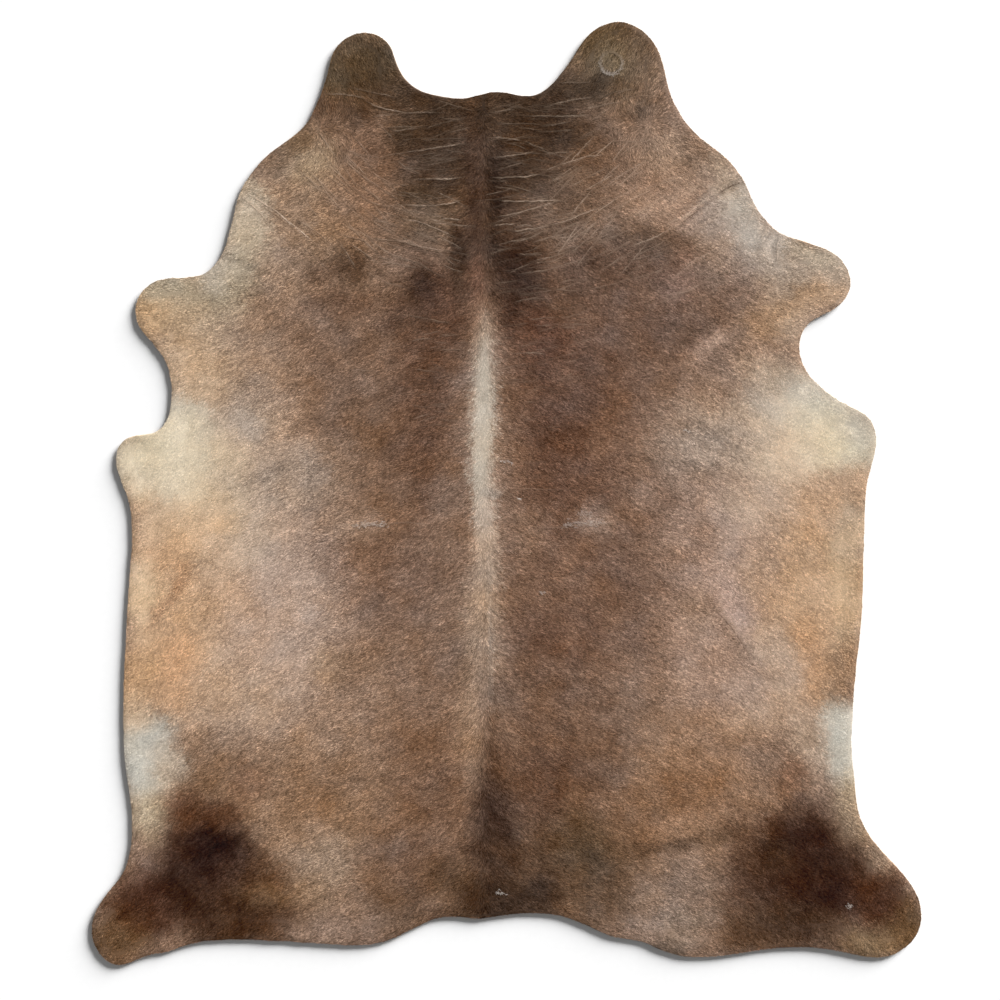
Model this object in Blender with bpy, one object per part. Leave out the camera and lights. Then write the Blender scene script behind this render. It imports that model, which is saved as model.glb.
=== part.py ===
"""A hair-on cowhide laid out flat on the floor, hair side up.

It is one cut hide with nothing sewn to it, so it is one solid: leather with its short coat
lying down on it. X runs across the animal, +Y along the spine towards the neck, +Z up. The
origin is on the floor under the middle of the hide. The underside lies flat on the floor and
comes up a little only at the edges that curl. Growth wrinkles, shoulder creases and the
spine are raised or sunk in the hair side.
"""

import math

import bmesh
import bpy
from mathutils import Vector
from mathutils.geometry import intersect_point_line

# Driving dimensions, in metres.
LENGTH = 2.30  # from the right neck lobe to the left hind leg
LEATHER = 0.0022
COAT = 0.0034  # how high the short hair stands as it lies

# The tables below are charted in units of 1/230 of the length, 1 cm on this hide, from the
# middle of the hide. Heights are in millimetres.
CHART_LENGTH = 230.0
UNIT = LENGTH / CHART_LENGTH
MM = 0.001

# The cut edge, clockwise, one row for each stretch of it: (stretch, points of its curve).
OUTLINE = (
    ("left neck lobe", ((-46.5, 94.3), (-44.0, 100.9), (-42.1, 107.7), (-39.2, 110.9), (-33.8, 112.3),
                        (-28.9, 109.9), (-26.9, 105.2), (-24.8, 101.3), (-21.1, 98.3))),
    ("neck cut", ((-16.5, 97.0), (-9.9, 96.3), (-6.0, 97.3), (-2.3, 97.9), (6.5, 97.0), (9.9, 98.8))),
    ("right neck lobe", ((13.5, 102.5), (16.5, 106.7), (19.9, 111.7), (26.5, 115.0), (30.8, 114.1),
                         (35.0, 111.1), (38.6, 103.0), (39.6, 98.2), (41.8, 93.3))),
    ("right shoulder", ((45.1, 88.7), (50.8, 84.0), (54.6, 80.8), (58.0, 76.0), (60.1, 71.1),
                        (63.0, 66.8), (66.5, 63.6))),
    ("right foreleg", ((73.0, 61.3), (78.7, 59.1), (82.3, 56.2), (83.8, 52.2), (83.0, 48.2),
                       (80.2, 45.3), (75.7, 43.0))),
    ("right elbow bay", ((72.4, 39.9), (71.3, 35.1), (73.0, 30.0), (77.3, 25.3))),
    ("right flank corner", ((83.8, 21.3), (88.3, 18.5), (90.1, 14.2), (89.2, 8.0))),
    ("right flank", ((87.8, 2.0), (87.3, -6.0), (87.0, -18.2), (86.5, -30.6), (85.2, -42.8),
                     (84.4, -53.0), (84.1, -61.5), (85.0, -71.0))),
    ("right hind leg", ((85.7, -77.7), (88.0, -82.7), (91.7, -87.4), (96.1, -92.2), (99.9, -97.4),
                        (101.1, -102.8), (99.7, -108.0), (96.0, -111.5), (91.6, -113.0),
                        (85.7, -112.5))),
    ("right rump", ((79.4, -111.1), (73.0, -110.6), (66.5, -110.7), (57.9, -111.8), (50.9, -112.8),
                    (43.5, -112.8), (37.9, -111.4), (33.0, -109.2))),
    ("tail cut", ((25.7, -107.9), (19.4, -105.2), (13.5, -103.0), (7.9, -102.3), (-0.9, -102.8),
                  (-6.5, -103.6), (-12.6, -103.1), (-17.2, -103.6))),
    ("left rump", ((-23.0, -106.2), (-28.9, -109.0), (-35.5, -110.1), (-46.5, -109.6), (-58.4, -108.9),
                   (-71.3, -108.9), (-76.7, -109.8))),
    ("left hind leg", ((-82.6, -111.6), (-87.5, -112.6), (-90.9, -114.0), (-94.3, -115.0),
                       (-97.6, -113.7), (-100.1, -110.7), (-101.1, -106.2), (-99.9, -101.6),
                       (-97.0, -97.2), (-93.4, -92.6))),
    ("left flank", ((-91.6, -86.7), (-91.3, -79.4), (-91.9, -72.8), (-92.9, -65.0), (-93.4, -55.2),
                    (-93.2, -44.0), (-92.3, -28.2), (-91.6, -16.5), (-91.3, -7.9), (-92.0, -2.1))),
    ("left flank corner", ((-94.2, 3.6), (-95.2, 8.5), (-93.7, 12.6), (-90.2, 14.2), (-85.4, 15.0))),
    ("left elbow bay", ((-82.8, 17.7), (-81.7, 22.3), (-81.8, 27.7), (-83.1, 32.1), (-85.8, 36.2))),
    ("left foreleg", ((-89.2, 40.3), (-90.4, 44.3), (-89.5, 48.2), (-87.0, 50.9), (-83.0, 52.3),
                      (-78.0, 52.7), (-73.7, 53.6))),
    ("left shoulder", ((-70.1, 57.0), (-68.1, 61.6), (-66.7, 66.7), (-65.3, 72.6), (-62.4, 77.8),
                       (-58.4, 82.4), (-53.2, 86.3), (-48.9, 90.0))),
)
CURVE_STEPS = 3  # straight pieces to a point of the outline

# Where the edge curls off the floor: (place, x, y, reach, height in mm).
CURLS = (
    ("left neck lobe", -36.0, 114.0, 20.0, 3.0),
    ("right neck lobe", 27.5, 118.0, 24.0, 4.0),
    ("neck cut", -7.0, 98.5, 13.0, 1.5),
    ("left shoulder", -68.0, 76.0, 17.0, 2.0),
    ("right shoulder", 61.0, 75.0, 15.0, 2.5),
    ("left foreleg", -93.0, 46.0, 20.0, 3.5),
    ("right foreleg", 87.0, 53.0, 21.0, 3.0),
    ("left elbow bay", -80.5, 25.0, 11.0, 1.5),
    ("left flank corner", -97.0, 10.0, 17.0, 2.5),
    ("right flank corner", 93.0, 16.0, 18.0, 3.0),
    ("upper left flank", -93.0, -21.0, 14.0, 1.5),
    ("upper right flank", 88.5, -24.0, 15.0, 1.5),
    ("lower left flank", -95.0, -58.0, 17.0, 2.0),
    ("lower right flank", 86.5, -60.0, 14.0, 1.5),
    ("left hock", -93.0, -83.0, 10.0, 1.0),
    ("left hind leg", -101.0, -112.0, 22.0, 4.0),
    ("right hind leg", 103.0, -107.0, 21.0, 3.5),
    ("left rump", -55.0, -112.0, 15.0, 1.5),
    ("right rump", 46.0, -116.0, 16.0, 2.0),
    ("tail", -3.0, -106.0, 12.0, 1.5),
)

# Growth wrinkles of the neck, each a low round ridge along the arc through three points:
# (side, start x, y, middle x, y, end x, y, height in mm).
WRINKLES = (
    ("left", -35.5, 95.9, -26.0, 93.5, -16.5, 93.0, 1.3),
    ("left", -24.8, 83.1, -17.2, 84.0, -8.5, 85.6, 1.5),
    ("left", -25.5, 78.8, -17.5, 76.6, -8.8, 77.2, 1.6),
    ("left", -25.5, 70.6, -17.5, 70.3, -9.5, 71.7, 1.7),
    ("left", -25.0, 67.4, -17.0, 65.6, -9.5, 62.0, 1.4),
    ("left", -30.5, 63.0, -21.5, 60.2, -12.0, 58.5, 1.5),
    ("right", 5.2, 92.3, 13.0, 92.4, 22.0, 94.0, 1.3),
    ("right", -4.0, 86.6, 1.0, 86.5, 7.5, 85.3, 1.4),
    ("right", -4.5, 81.8, 1.1, 82.1, 9.0, 83.6, 1.4),
    ("right", -4.5, 77.2, 7.5, 77.8, 24.5, 82.4, 1.7),
    ("right", -4.0, 71.6, 3.3, 71.6, 12.5, 71.4, 1.6),
    ("right", -4.0, 67.7, 5.0, 69.0, 16.0, 71.6, 1.4),
    ("right", -0.5, 64.0, 12.6, 66.0, 27.0, 71.0, 1.8),
    ("right", 0.5, 61.3, 8.0, 63.4, 18.0, 64.9, 1.4),
    ("right", 4.5, 55.9, 13.0, 58.6, 26.0, 65.0, 1.5),
)
WRINKLE_HALF = 0.75  # half a ridge's width
ARC_STEPS = 6

# Creases that run in from the edge, each a trough with a lip along its upper side, with
# the columns of WRINKLES and the half width of the trough last.
CREASES = (
    ("right shoulder", 58.5, 76.2, 47.9, 70.6, 33.0, 61.3, 2.4, 1.3),
    ("left shoulder", -66.0, 73.0, -56.5, 68.7, -45.5, 60.4, 1.8, 1.2),
    ("right armpit", 66.6, 64.5, 65.0, 60.4, 65.2, 55.5, 1.8, 1.3),
    ("right armpit fold", 64.4, 66.0, 61.6, 61.3, 58.5, 56.8, 1.4, 1.3),
    ("left armpit", -70.5, 57.5, -65.0, 55.5, -58.0, 51.5, 1.3, 1.3),
)
LIP_SHARE = 0.7  # the lip's height beside the trough's depth
LIP_PLACE = 1.7  # how far from the trough it stands, in half widths

# The spine: a shallow groove down the neck that dies away over the back.
SPINE_X = -5.5
SPINE_TOP = 98.0
SPINE_END = 20.0
SPINE_HALF = 2.2
SPINE_DEPTH = 1.2  # mm

# The mesh: square cells over the body, and finer ones over the wrinkled neck and shoulders.
CELL = 4.2
NECK = (-71.0, 67.0, 53.0, 97.0)  # x from, x to, y from, y to
NECK_COLUMN = 2.3
NECK_ROW = 1.1
X_AXIS = Vector((1.0, 0.0, 0.0))
Y_AXIS = Vector((0.0, 1.0, 0.0))
FLAT_ANGLE = math.radians(0.2)
SHARP_ANGLE = math.radians(40.0)

COAT_COLOUR = (0.235, 0.160, 0.118, 1.0)
COAT_ROUGHNESS = 0.62


def clear_scene():
    for old in list(bpy.data.objects):
        bpy.data.objects.remove(old, do_unlink=True)


def coat_material():
    material = bpy.data.materials.new("short_hair_coat")
    material.use_nodes = True
    shader = material.node_tree.nodes["Principled BSDF"]
    shader.inputs["Base Color"].default_value = COAT_COLOUR
    shader.inputs["Roughness"].default_value = COAT_ROUGHNESS
    shader.inputs["Metallic"].default_value = 0.0
    return material


def outline_curve():
    """The cut edge as one smooth closed curve that fills itself."""
    points = [point for _, stretch in OUTLINE for point in stretch]
    curve = bpy.data.curves.new("cut_edge", "CURVE")
    curve.dimensions = "2D"
    curve.fill_mode = "BOTH"
    curve.resolution_u = CURVE_STEPS
    spline = curve.splines.new("BEZIER")
    spline.bezier_points.add(len(points) - 1)
    for knot, (x, y) in zip(spline.bezier_points, points):
        knot.co = (x * UNIT, y * UNIT, 0.0)
        knot.handle_left_type = "AUTO"
        knot.handle_right_type = "AUTO"
    spline.use_cyclic_u = True
    return bpy.data.objects.new("cut_edge", curve)


def flat_hide():
    """The filled outline as a single face in a bmesh, centred on the origin."""
    edge = outline_curve()
    bpy.context.scene.collection.objects.link(edge)
    graph = bpy.context.evaluated_depsgraph_get()
    filled = bpy.data.meshes.new_from_object(edge.evaluated_get(graph))
    flat = bmesh.new()
    flat.from_mesh(filled)
    bpy.data.objects.remove(edge, do_unlink=True)
    bpy.data.meshes.remove(filled)
    bmesh.ops.remove_doubles(flat, verts=flat.verts, dist=1e-6)
    bmesh.ops.dissolve_faces(flat, faces=flat.faces)
    low = Vector(min(v.co[i] for v in flat.verts) for i in range(3))
    high = Vector(max(v.co[i] for v in flat.verts) for i in range(3))
    bmesh.ops.translate(flat, verts=flat.verts, vec=-(low + high) / 2)
    return flat


def cut_grid(flat, region, column, row):
    """Cuts the faces inside a rectangle into cells of about this width and depth."""
    left, right, low, high = region
    for normal, start, stop, pitch in ((X_AXIS, left, right, column), (Y_AXIS, low, high, row)):
        count = round((stop - start) / pitch)
        for step in range(1, count):
            line = normal * (start + (stop - start) * step / count) * UNIT
            faces = faces_in(flat, region)
            edges = {edge for face in faces for edge in face.edges}
            corners = {corner for face in faces for corner in face.verts}
            bmesh.ops.bisect_plane(
                flat, geom=[*faces, *edges, *corners], plane_co=line, plane_no=normal, dist=1e-5
            )


def faces_in(flat, region):
    """The faces whose middles are inside a rectangle given in chart units."""
    left, right, low, high = region
    chosen = []
    for face in flat.faces:
        middle = face.calc_center_median() / UNIT
        if left < middle.x < right and low < middle.y < high:
            chosen.append(face)
    return chosen


def arc_points(x0, y0, x1, y1, x2, y2):
    """Points along the parabola through three points."""
    points = []
    for step in range(ARC_STEPS + 1):
        t = step / ARC_STEPS
        start, middle, end = (1 - t) * (1 - 2 * t), 4 * t * (1 - t), t * (2 * t - 1)
        points.append(
            Vector((start * x0 + middle * x1 + end * x2, start * y0 + middle * y1 + end * y2))
        )
    return points


def nearest_on_arc(place, points):
    """Distance from a place to the arc, positive on its left, and how far along it that is."""
    best = (math.inf, 0.0)
    for step, (start, end) in enumerate(zip(points, points[1:])):
        _, share = intersect_point_line(place, start, end)
        share = min(max(share, 0.0), 1.0)
        gap = place - start.lerp(end, share)
        if gap.length < abs(best[0]):
            left = (end - start).cross(gap) >= 0
            best = (gap.length if left else -gap.length, (step + share) / ARC_STEPS)
    return best


def bell(distance, half):
    return math.exp(-((distance / half) ** 2))


def curl(place):
    """How far the underside is off the floor, in mm."""
    height = 0.0
    for _, x, y, reach, most in CURLS:
        share = (place - Vector((x, y))).length / reach
        if share < 1:
            height += most * math.cos(share * math.pi / 2) ** 2
    return height


def relief(place):
    """How far the hair side stands above or below its even thickness, in mm."""
    height = 0.0
    for _, *arc, most in WRINKLES:
        distance, along = nearest_on_arc(place, arc_points(*arc))
        fade = min(1.0, 4 * along, 4 * (1 - along))
        height += most * fade * bell(distance, WRINKLE_HALF)
    for side, *arc, depth, half in CREASES:
        distance, along = nearest_on_arc(place, arc_points(*arc))
        lip = distance if side.startswith("left") else -distance
        fade = min(1.0, 3 * (1 - along))
        height += depth * fade * (LIP_SHARE * bell(lip - LIP_PLACE * half, half) - bell(distance, half))
    if place.y > SPINE_END:
        fade = min(1.0, (place.y - SPINE_END) / (SPINE_TOP - SPINE_END))
        height -= SPINE_DEPTH * fade * bell(place.x - SPINE_X, SPINE_HALF)
    return height


def hide_mesh():
    """The hide as a closed mesh: its flat shape, given an underside, a rim and a hair side."""
    body = flat_hide()
    half = CHART_LENGTH / 2
    cut_grid(body, (-half, half, -half, half), CELL, CELL)
    cut_grid(body, NECK, NECK_COLUMN, NECK_ROW)
    underside = list(body.verts)
    raised = bmesh.ops.extrude_face_region(body, geom=list(body.faces))["geom"]
    hair_side = [item for item in raised if isinstance(item, bmesh.types.BMVert)]
    for corner in underside:
        corner.co.z = curl(corner.co.xy / UNIT) * MM
    for corner in hair_side:
        place = corner.co.xy / UNIT
        corner.co.z = (curl(place) + relief(place)) * MM + LEATHER + COAT
    flat_edges = [edge for edge in body.edges if all(corner.co.z == 0.0 for corner in edge.verts)]
    flat_corners = {corner for edge in flat_edges for corner in edge.verts}
    bmesh.ops.dissolve_limit(
        body, angle_limit=FLAT_ANGLE, verts=list(flat_corners), edges=flat_edges
    )
    bmesh.ops.triangulate(body, faces=body.faces)
    bmesh.ops.recalc_face_normals(body, faces=body.faces)
    mesh = bpy.data.meshes.new("hide")
    body.to_mesh(mesh)
    body.free()
    return mesh


def main():
    clear_scene()
    rug = bpy.data.collections.new("cowhide")
    bpy.context.scene.collection.children.link(rug)
    hide = bpy.data.objects.new("hide", hide_mesh())
    hide.data.materials.append(coat_material())
    hide.data.shade_smooth()
    hide.data.set_sharp_from_angle(angle=SHARP_ANGLE)
    rug.objects.link(hide)


main()
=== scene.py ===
"""A hair-on cowhide laid out flat on a pale floor, hair side up, seen from straight above.

The frame's solid gives the hide its outline and its box. Around it come the hide's skin, one
closed sheet of leather with a cut edge and a suede underside, and the short coat that lies on
it, made of small flat hairs that point the way the hair grows. Places on the hide are
charted in units of 1/230 of its length, 1 cm on this hide, from its middle: x runs across to
the animal's right and y along the spine towards the neck. Heights are in millimetres, and
colours are display values from 0 to 255, written as they look in soft light.
"""

import math

import bpy
import numpy as np
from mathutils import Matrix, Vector
from mathutils.geometry import delaunay_2d_cdt
from mathutils.kdtree import KDTree


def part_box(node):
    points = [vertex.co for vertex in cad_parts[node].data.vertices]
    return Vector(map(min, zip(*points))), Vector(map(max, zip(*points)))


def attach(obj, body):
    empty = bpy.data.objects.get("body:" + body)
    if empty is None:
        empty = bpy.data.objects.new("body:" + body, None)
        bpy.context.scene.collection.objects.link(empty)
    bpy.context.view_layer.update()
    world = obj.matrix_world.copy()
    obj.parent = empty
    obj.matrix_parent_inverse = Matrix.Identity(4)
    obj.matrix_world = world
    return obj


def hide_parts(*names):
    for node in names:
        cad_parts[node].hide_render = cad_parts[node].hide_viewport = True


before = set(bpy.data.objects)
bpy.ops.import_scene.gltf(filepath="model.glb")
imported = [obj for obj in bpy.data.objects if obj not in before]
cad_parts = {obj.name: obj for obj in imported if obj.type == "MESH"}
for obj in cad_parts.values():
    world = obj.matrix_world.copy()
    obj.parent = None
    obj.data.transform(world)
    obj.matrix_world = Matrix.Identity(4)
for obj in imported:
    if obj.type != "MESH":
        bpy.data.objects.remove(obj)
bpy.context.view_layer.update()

CHART_LENGTH = 230.0
LOW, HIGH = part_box("hide")
UNIT = (HIGH[1] - LOW[1]) / CHART_LENGTH
MM = 0.001

# The leather and its coat, in millimetres.
LEATHER = 2.2
UNDERCOAT = 1.2  # the dense soft hair under the longer hairs

# ---- relief of the hide

# Where the edge curls off the floor: (place, x, y, reach, height).
CURLS = (
    ("left neck lobe", -36, 114, 20, 3),
    ("right neck lobe", 27.5, 118, 24, 4),
    ("neck cut", -7, 98.5, 13, 1.5),
    ("left shoulder", -68, 76, 17, 2),
    ("right shoulder", 61, 75, 15, 2.5),
    ("left foreleg", -93, 46, 20, 3.5),
    ("right foreleg", 87, 53, 21, 3),
    ("left elbow bay", -80.5, 25, 11, 1.5),
    ("left flank corner", -97, 10, 17, 2.5),
    ("right flank corner", 93, 16, 18, 3),
    ("upper left flank", -93, -21, 14, 1.5),
    ("upper right flank", 88.5, -24, 15, 1.5),
    ("lower left flank", -95, -58, 17, 2),
    ("lower right flank", 86.5, -60, 14, 1.5),
    ("left hock", -93, -83, 10, 1),
    ("left hind leg", -101, -112, 22, 4),
    ("right hind leg", 103, -107, 21, 3.5),
    ("left rump", -55, -112, 15, 1.5),
    ("right rump", 46, -116, 16, 2),
    ("tail", -3, -106, 12, 1.5),
)
EDGE_LIFT = 5.4  # how far the cut edge stands off the floor where it curls less than this
EDGE_REACH = 6  # how far in from the cut that lift reaches

# Growth wrinkles of the neck, each a low round ridge along the arc through three points:
# (start x, y, middle x, y, end x, y, height).
WRINKLES = (
    (-35.5, 95.9, -26, 93.5, -16.5, 93, 1.3),
    (-24.8, 83.1, -17.2, 84, -8.5, 85.6, 1.5),
    (-25.5, 78.8, -17.5, 76.6, -8.8, 77.2, 1.6),
    (-25.5, 70.6, -17.5, 70.3, -9.5, 71.7, 1.7),
    (-25, 67.4, -17, 65.6, -9.5, 62, 1.4),
    (-30.5, 63, -21.5, 60.2, -12, 58.5, 1.5),
    (5.2, 92.3, 13, 92.4, 22, 94, 1.3),
    (-4, 86.6, 1, 86.5, 7.5, 85.3, 1.4),
    (-4.5, 81.8, 1.1, 82.1, 9, 83.6, 1.4),
    (-4.5, 77.2, 7.5, 77.8, 24.5, 82.4, 1.7),
    (-4, 71.6, 3.3, 71.6, 12.5, 71.4, 1.6),
    (-4, 67.7, 5, 69, 16, 71.6, 1.4),
    (-0.5, 64, 12.6, 66, 27, 71, 1.8),
    (0.5, 61.3, 8, 63.4, 18, 64.9, 1.4),
    (4.5, 55.9, 13, 58.6, 26, 65, 1.5),
)
WRINKLE_HALF = 0.75  # half a ridge's width

# Creases that run in from the edge, each a trough with a lip along its upper side: the arc,
# the depth, half the trough's width, and 1 or -1 for a lip on the arc's left or right.
CREASES = (
    (58.5, 76.2, 47.9, 70.6, 33, 61.3, 2.4, 1.3, -1),
    (-65.5, 74, -55.2, 67.9, -45.3, 60, 0.9, 1, 1),
    (66.6, 64.5, 65, 60.4, 65.2, 55.5, 1.8, 1.3, -1),
    (64.4, 66, 61.6, 61.3, 58.5, 56.8, 1.4, 1.3, -1),
    (-70.5, 57.5, -65, 55.5, -58, 51.5, 1.3, 1.3, 1),
)
CREASE_FADE = 3  # a crease dies away over the last third of its arc
LIP_SHARE = 0.7  # the lip's height beside the trough's depth
LIP_PLACE = 1.7  # how far from the trough it stands, in half widths

# The spine: a shallow groove down the neck that dies away over the back.
SPINE_X = -5.5
SPINE_TOP = 98  # where it is deepest, as y
SPINE_END = 20  # where it ends
SPINE_HALF = 2.2  # half its width
SPINE_DEPTH = 1.2

# Lines of painted highlight in the coat, where hair parts over the crest of a small wrinkle and
# catches the light; each also raises a low real ridge: an arc like those above and how strongly it
# shows, from 0 to 1.
STREAKS = (
    # left side of the neck
    (-44.5, 97.3, -38.5, 97.2, -33, 95.6, 0.6),
    (-37.7, 98.9, -32.1, 97.9, -26.5, 96.7, 0.5),
    (-34.5, 95.8, -25.5, 93.2, -14.6, 93, 0.8),
    (-24.8, 83, -17.8, 84.2, -9.7, 85.6, 0.9),
    (-20.7, 86.2, -14.6, 86.7, -9.7, 86.5, 0.4),
    (-26.4, 80.9, -23, 79, -20.3, 77.7, 0.7),
    (-22.7, 76.7, -17, 76.8, -9.7, 77.2, 0.9),
    (-24.8, 70.4, -17.8, 70.3, -9.7, 71.7, 1),
    (-15.8, 66.9, -13.4, 67.1, -10.5, 66.5, 1),
    (-24.3, 66.7, -18.7, 65.5, -10.9, 61.8, 1),
    (-27.8, 62.2, -20.5, 60.1, -13.8, 58.8, 0.8),
    (-30.9, 76.9, -28.4, 75.6, -26.4, 72.8, 0.6),
    (-46.5, 86, -42, 79.5, -36, 72.8, 0.5),
    (-36, 72.8, -31, 70.6, -24.8, 70.4, 0.6),
    (-34, 62.4, -27.5, 58.3, -19, 54.6, 0.6),
    (-35, 54.5, -29, 51.6, -23.5, 50, 0.4),
    (-40.5, 66.2, -35, 63.2, -30, 61, 0.5),
    (-31.6, 91, -29.2, 88.2, -26.6, 85.2, 0.5),
    (-40, 84.2, -34, 82.3, -27.5, 81.6, 0.4),
    (-27.4, 88.2, -24, 88.7, -20.9, 88.9, 0.4),
    (-25.5, 43.6, -18.5, 42.6, -12.5, 41.2, 0.4),
    (-15.7, 38.9, -13.3, 38.8, -10.9, 39.1, 0.5),
    (-16.5, 35, -13.6, 35.1, -10.8, 34.8, 0.4),
    (-52, 43.6, -47.5, 42.6, -43, 42, 0.3),
    (-38, 30.2, -35, 30, -31.5, 30.2, 0.35),
    # right side of the neck
    (2.9, 92.3, 12, 92, 21.2, 92.3, 0.7),
    (8.2, 93.5, 14.6, 95.6, 21.5, 96.4, 0.6),
    (17.9, 93.5, 22.8, 94.6, 27.7, 95.4, 0.6),
    (27.7, 95.6, 33.5, 97, 40.5, 96.2, 0.4),
    (-4.8, 86.6, -0.5, 86.6, 3.7, 86, 0.7),
    (3.7, 86, 6.5, 85.1, 9.4, 84, 0.5),
    (-0.4, 85.5, 2.3, 85, 4.5, 84.3, 0.6),
    (-4, 81.9, 1.3, 82.4, 6.5, 83.4, 0.9),
    (-4.4, 77.1, 2, 77.2, 8.2, 77.9, 1),
    (8.2, 77.9, 15.5, 81, 24, 82.8, 0.8),
    (-2.8, 71.7, 4.5, 71.3, 14.7, 71.5, 1),
    (-3.2, 67.5, 4, 68.7, 13.5, 71.6, 0.8),
    (-3.6, 65.1, -1, 65.5, 1.9, 65.7, 1),
    (0, 63.9, 4.9, 64.5, 9.8, 65.1, 0.9),
    (9.8, 65.1, 16.5, 67.4, 23.2, 69.8, 0.9),
    (-0.8, 61.4, 4.1, 62, 9, 63.9, 0.8),
    (15.1, 66.7, 17.9, 70.8, 22, 74.8, 0.7),
    (22, 74.8, 24.8, 77.8, 27.7, 80.5, 0.7),
    (15.1, 58.6, 18.7, 61, 23.2, 65.9, 0.8),
    (23.2, 65.9, 24.7, 67.4, 26.1, 68.7, 0.5),
    (1.7, 53.7, 9, 54.5, 21.2, 57.8, 0.5),
    (4.9, 56.1, 10.5, 57.6, 15.9, 59.4, 0.7),
    (12.6, 73.6, 15.5, 76.9, 19.1, 80.1, 0.5),
    (27.5, 82, 31, 84.8, 35, 87.5, 0.4),
    (30, 72.5, 38, 76, 45, 78.5, 0.4),
    (17, 49.8, 28, 51.6, 42, 55.8, 0.4),
    (8, 42.8, 14, 43.2, 20, 44.4, 0.4),
    (6.5, 40.6, 12, 41.2, 18, 41.4, 0.4),
    (12.3, 99.9, 16.2, 100.4, 20.1, 100.4, 0.4),
    # shoulders and armpits
    (58.2, 77.3, 54.5, 76, 51.5, 74, 0.8),
    (51.5, 74, 45.5, 69.2, 41.8, 66.2, 0.9),
    (41.8, 66.2, 36.5, 62.9, 29, 60, 0.8),
    (37, 73.3, 34.8, 69.1, 32.3, 66.2, 0.7),
    (26.1, 68.7, 29.5, 71.2, 32.6, 73, 0.5),
    (50.4, 63.3, 48, 61.9, 46, 60.4, 0.4),
    (-63.6, 73.4, -55.2, 67.9, -45.3, 60, 1.8),
    (-64.6, 72.4, -60.7, 68.9, -57.3, 64.5, 0.9),
    (63.8, 64.5, 62.6, 62.8, 61.6, 61.1, 0.6),
    (66.8, 62.6, 66, 60.4, 66.2, 56.2, 0.6),
    (60.4, 69.2, 59, 66.2, 57.4, 63.2, 0.4),
    (45.5, 59.6, 49.4, 55.6, 51.6, 51, 0.4),
    # back and loin
    (-46, -8.4, -31, -7.2, -13, -7.5, 0.35),
    (8, -8.6, 18, -7.8, 30, -7, 0.35),
    (0.5, 0.6, 9, 1.2, 17.5, 0.8, 0.3),
)
STREAK_HALF = 0.19  # half a painted highlight line's width
STREAK_HEIGHT = 0.12
STREAK_STEPS = 14  # straight pieces in a light line's arc
STREAK_WAVES = ((4, 0.28), (1.3, 0.07))  # how a line wavers: length of its waves, height
SHADE_PLACE = 0.45  # how far below a highlight line its painted shade lies
SHADE_HALF = 0.32

# The lines of painted shade where creases fold down into their own shade: an arc and how strongly.
CREASE_LINES = (
    (58.8, 76.2, 54.5, 74.9, 51, 72.6, 1),
    (51, 72.6, 46.5, 68.9, 41.8, 65.3, 0.8),
    (41.8, 65.3, 37, 62.3, 31, 59.6, 0.3),
    (-59.5, 70, -55, 66.9, -49, 62.2, 0.35),
    (66, 62.6, 65.2, 60.4, 65.3, 57, 0.4),
    (64.8, 63.8, 63.3, 61.9, 62.2, 60.2, 0.5),
    (49.5, -27.6, 54.5, -32.2, 59.8, -40.2, 0.3),
    (9, -10.2, 24, -10.1, 40, -10.8, 0.25),
    (47, -11.7, 54, -11.4, 62, -10.6, 0.25),
    (-32, -10.3, -20, -10.6, -9.5, -10.9, 0.25),
)
CREASE_HALF = 0.4  # half a painted shade line's width
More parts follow.
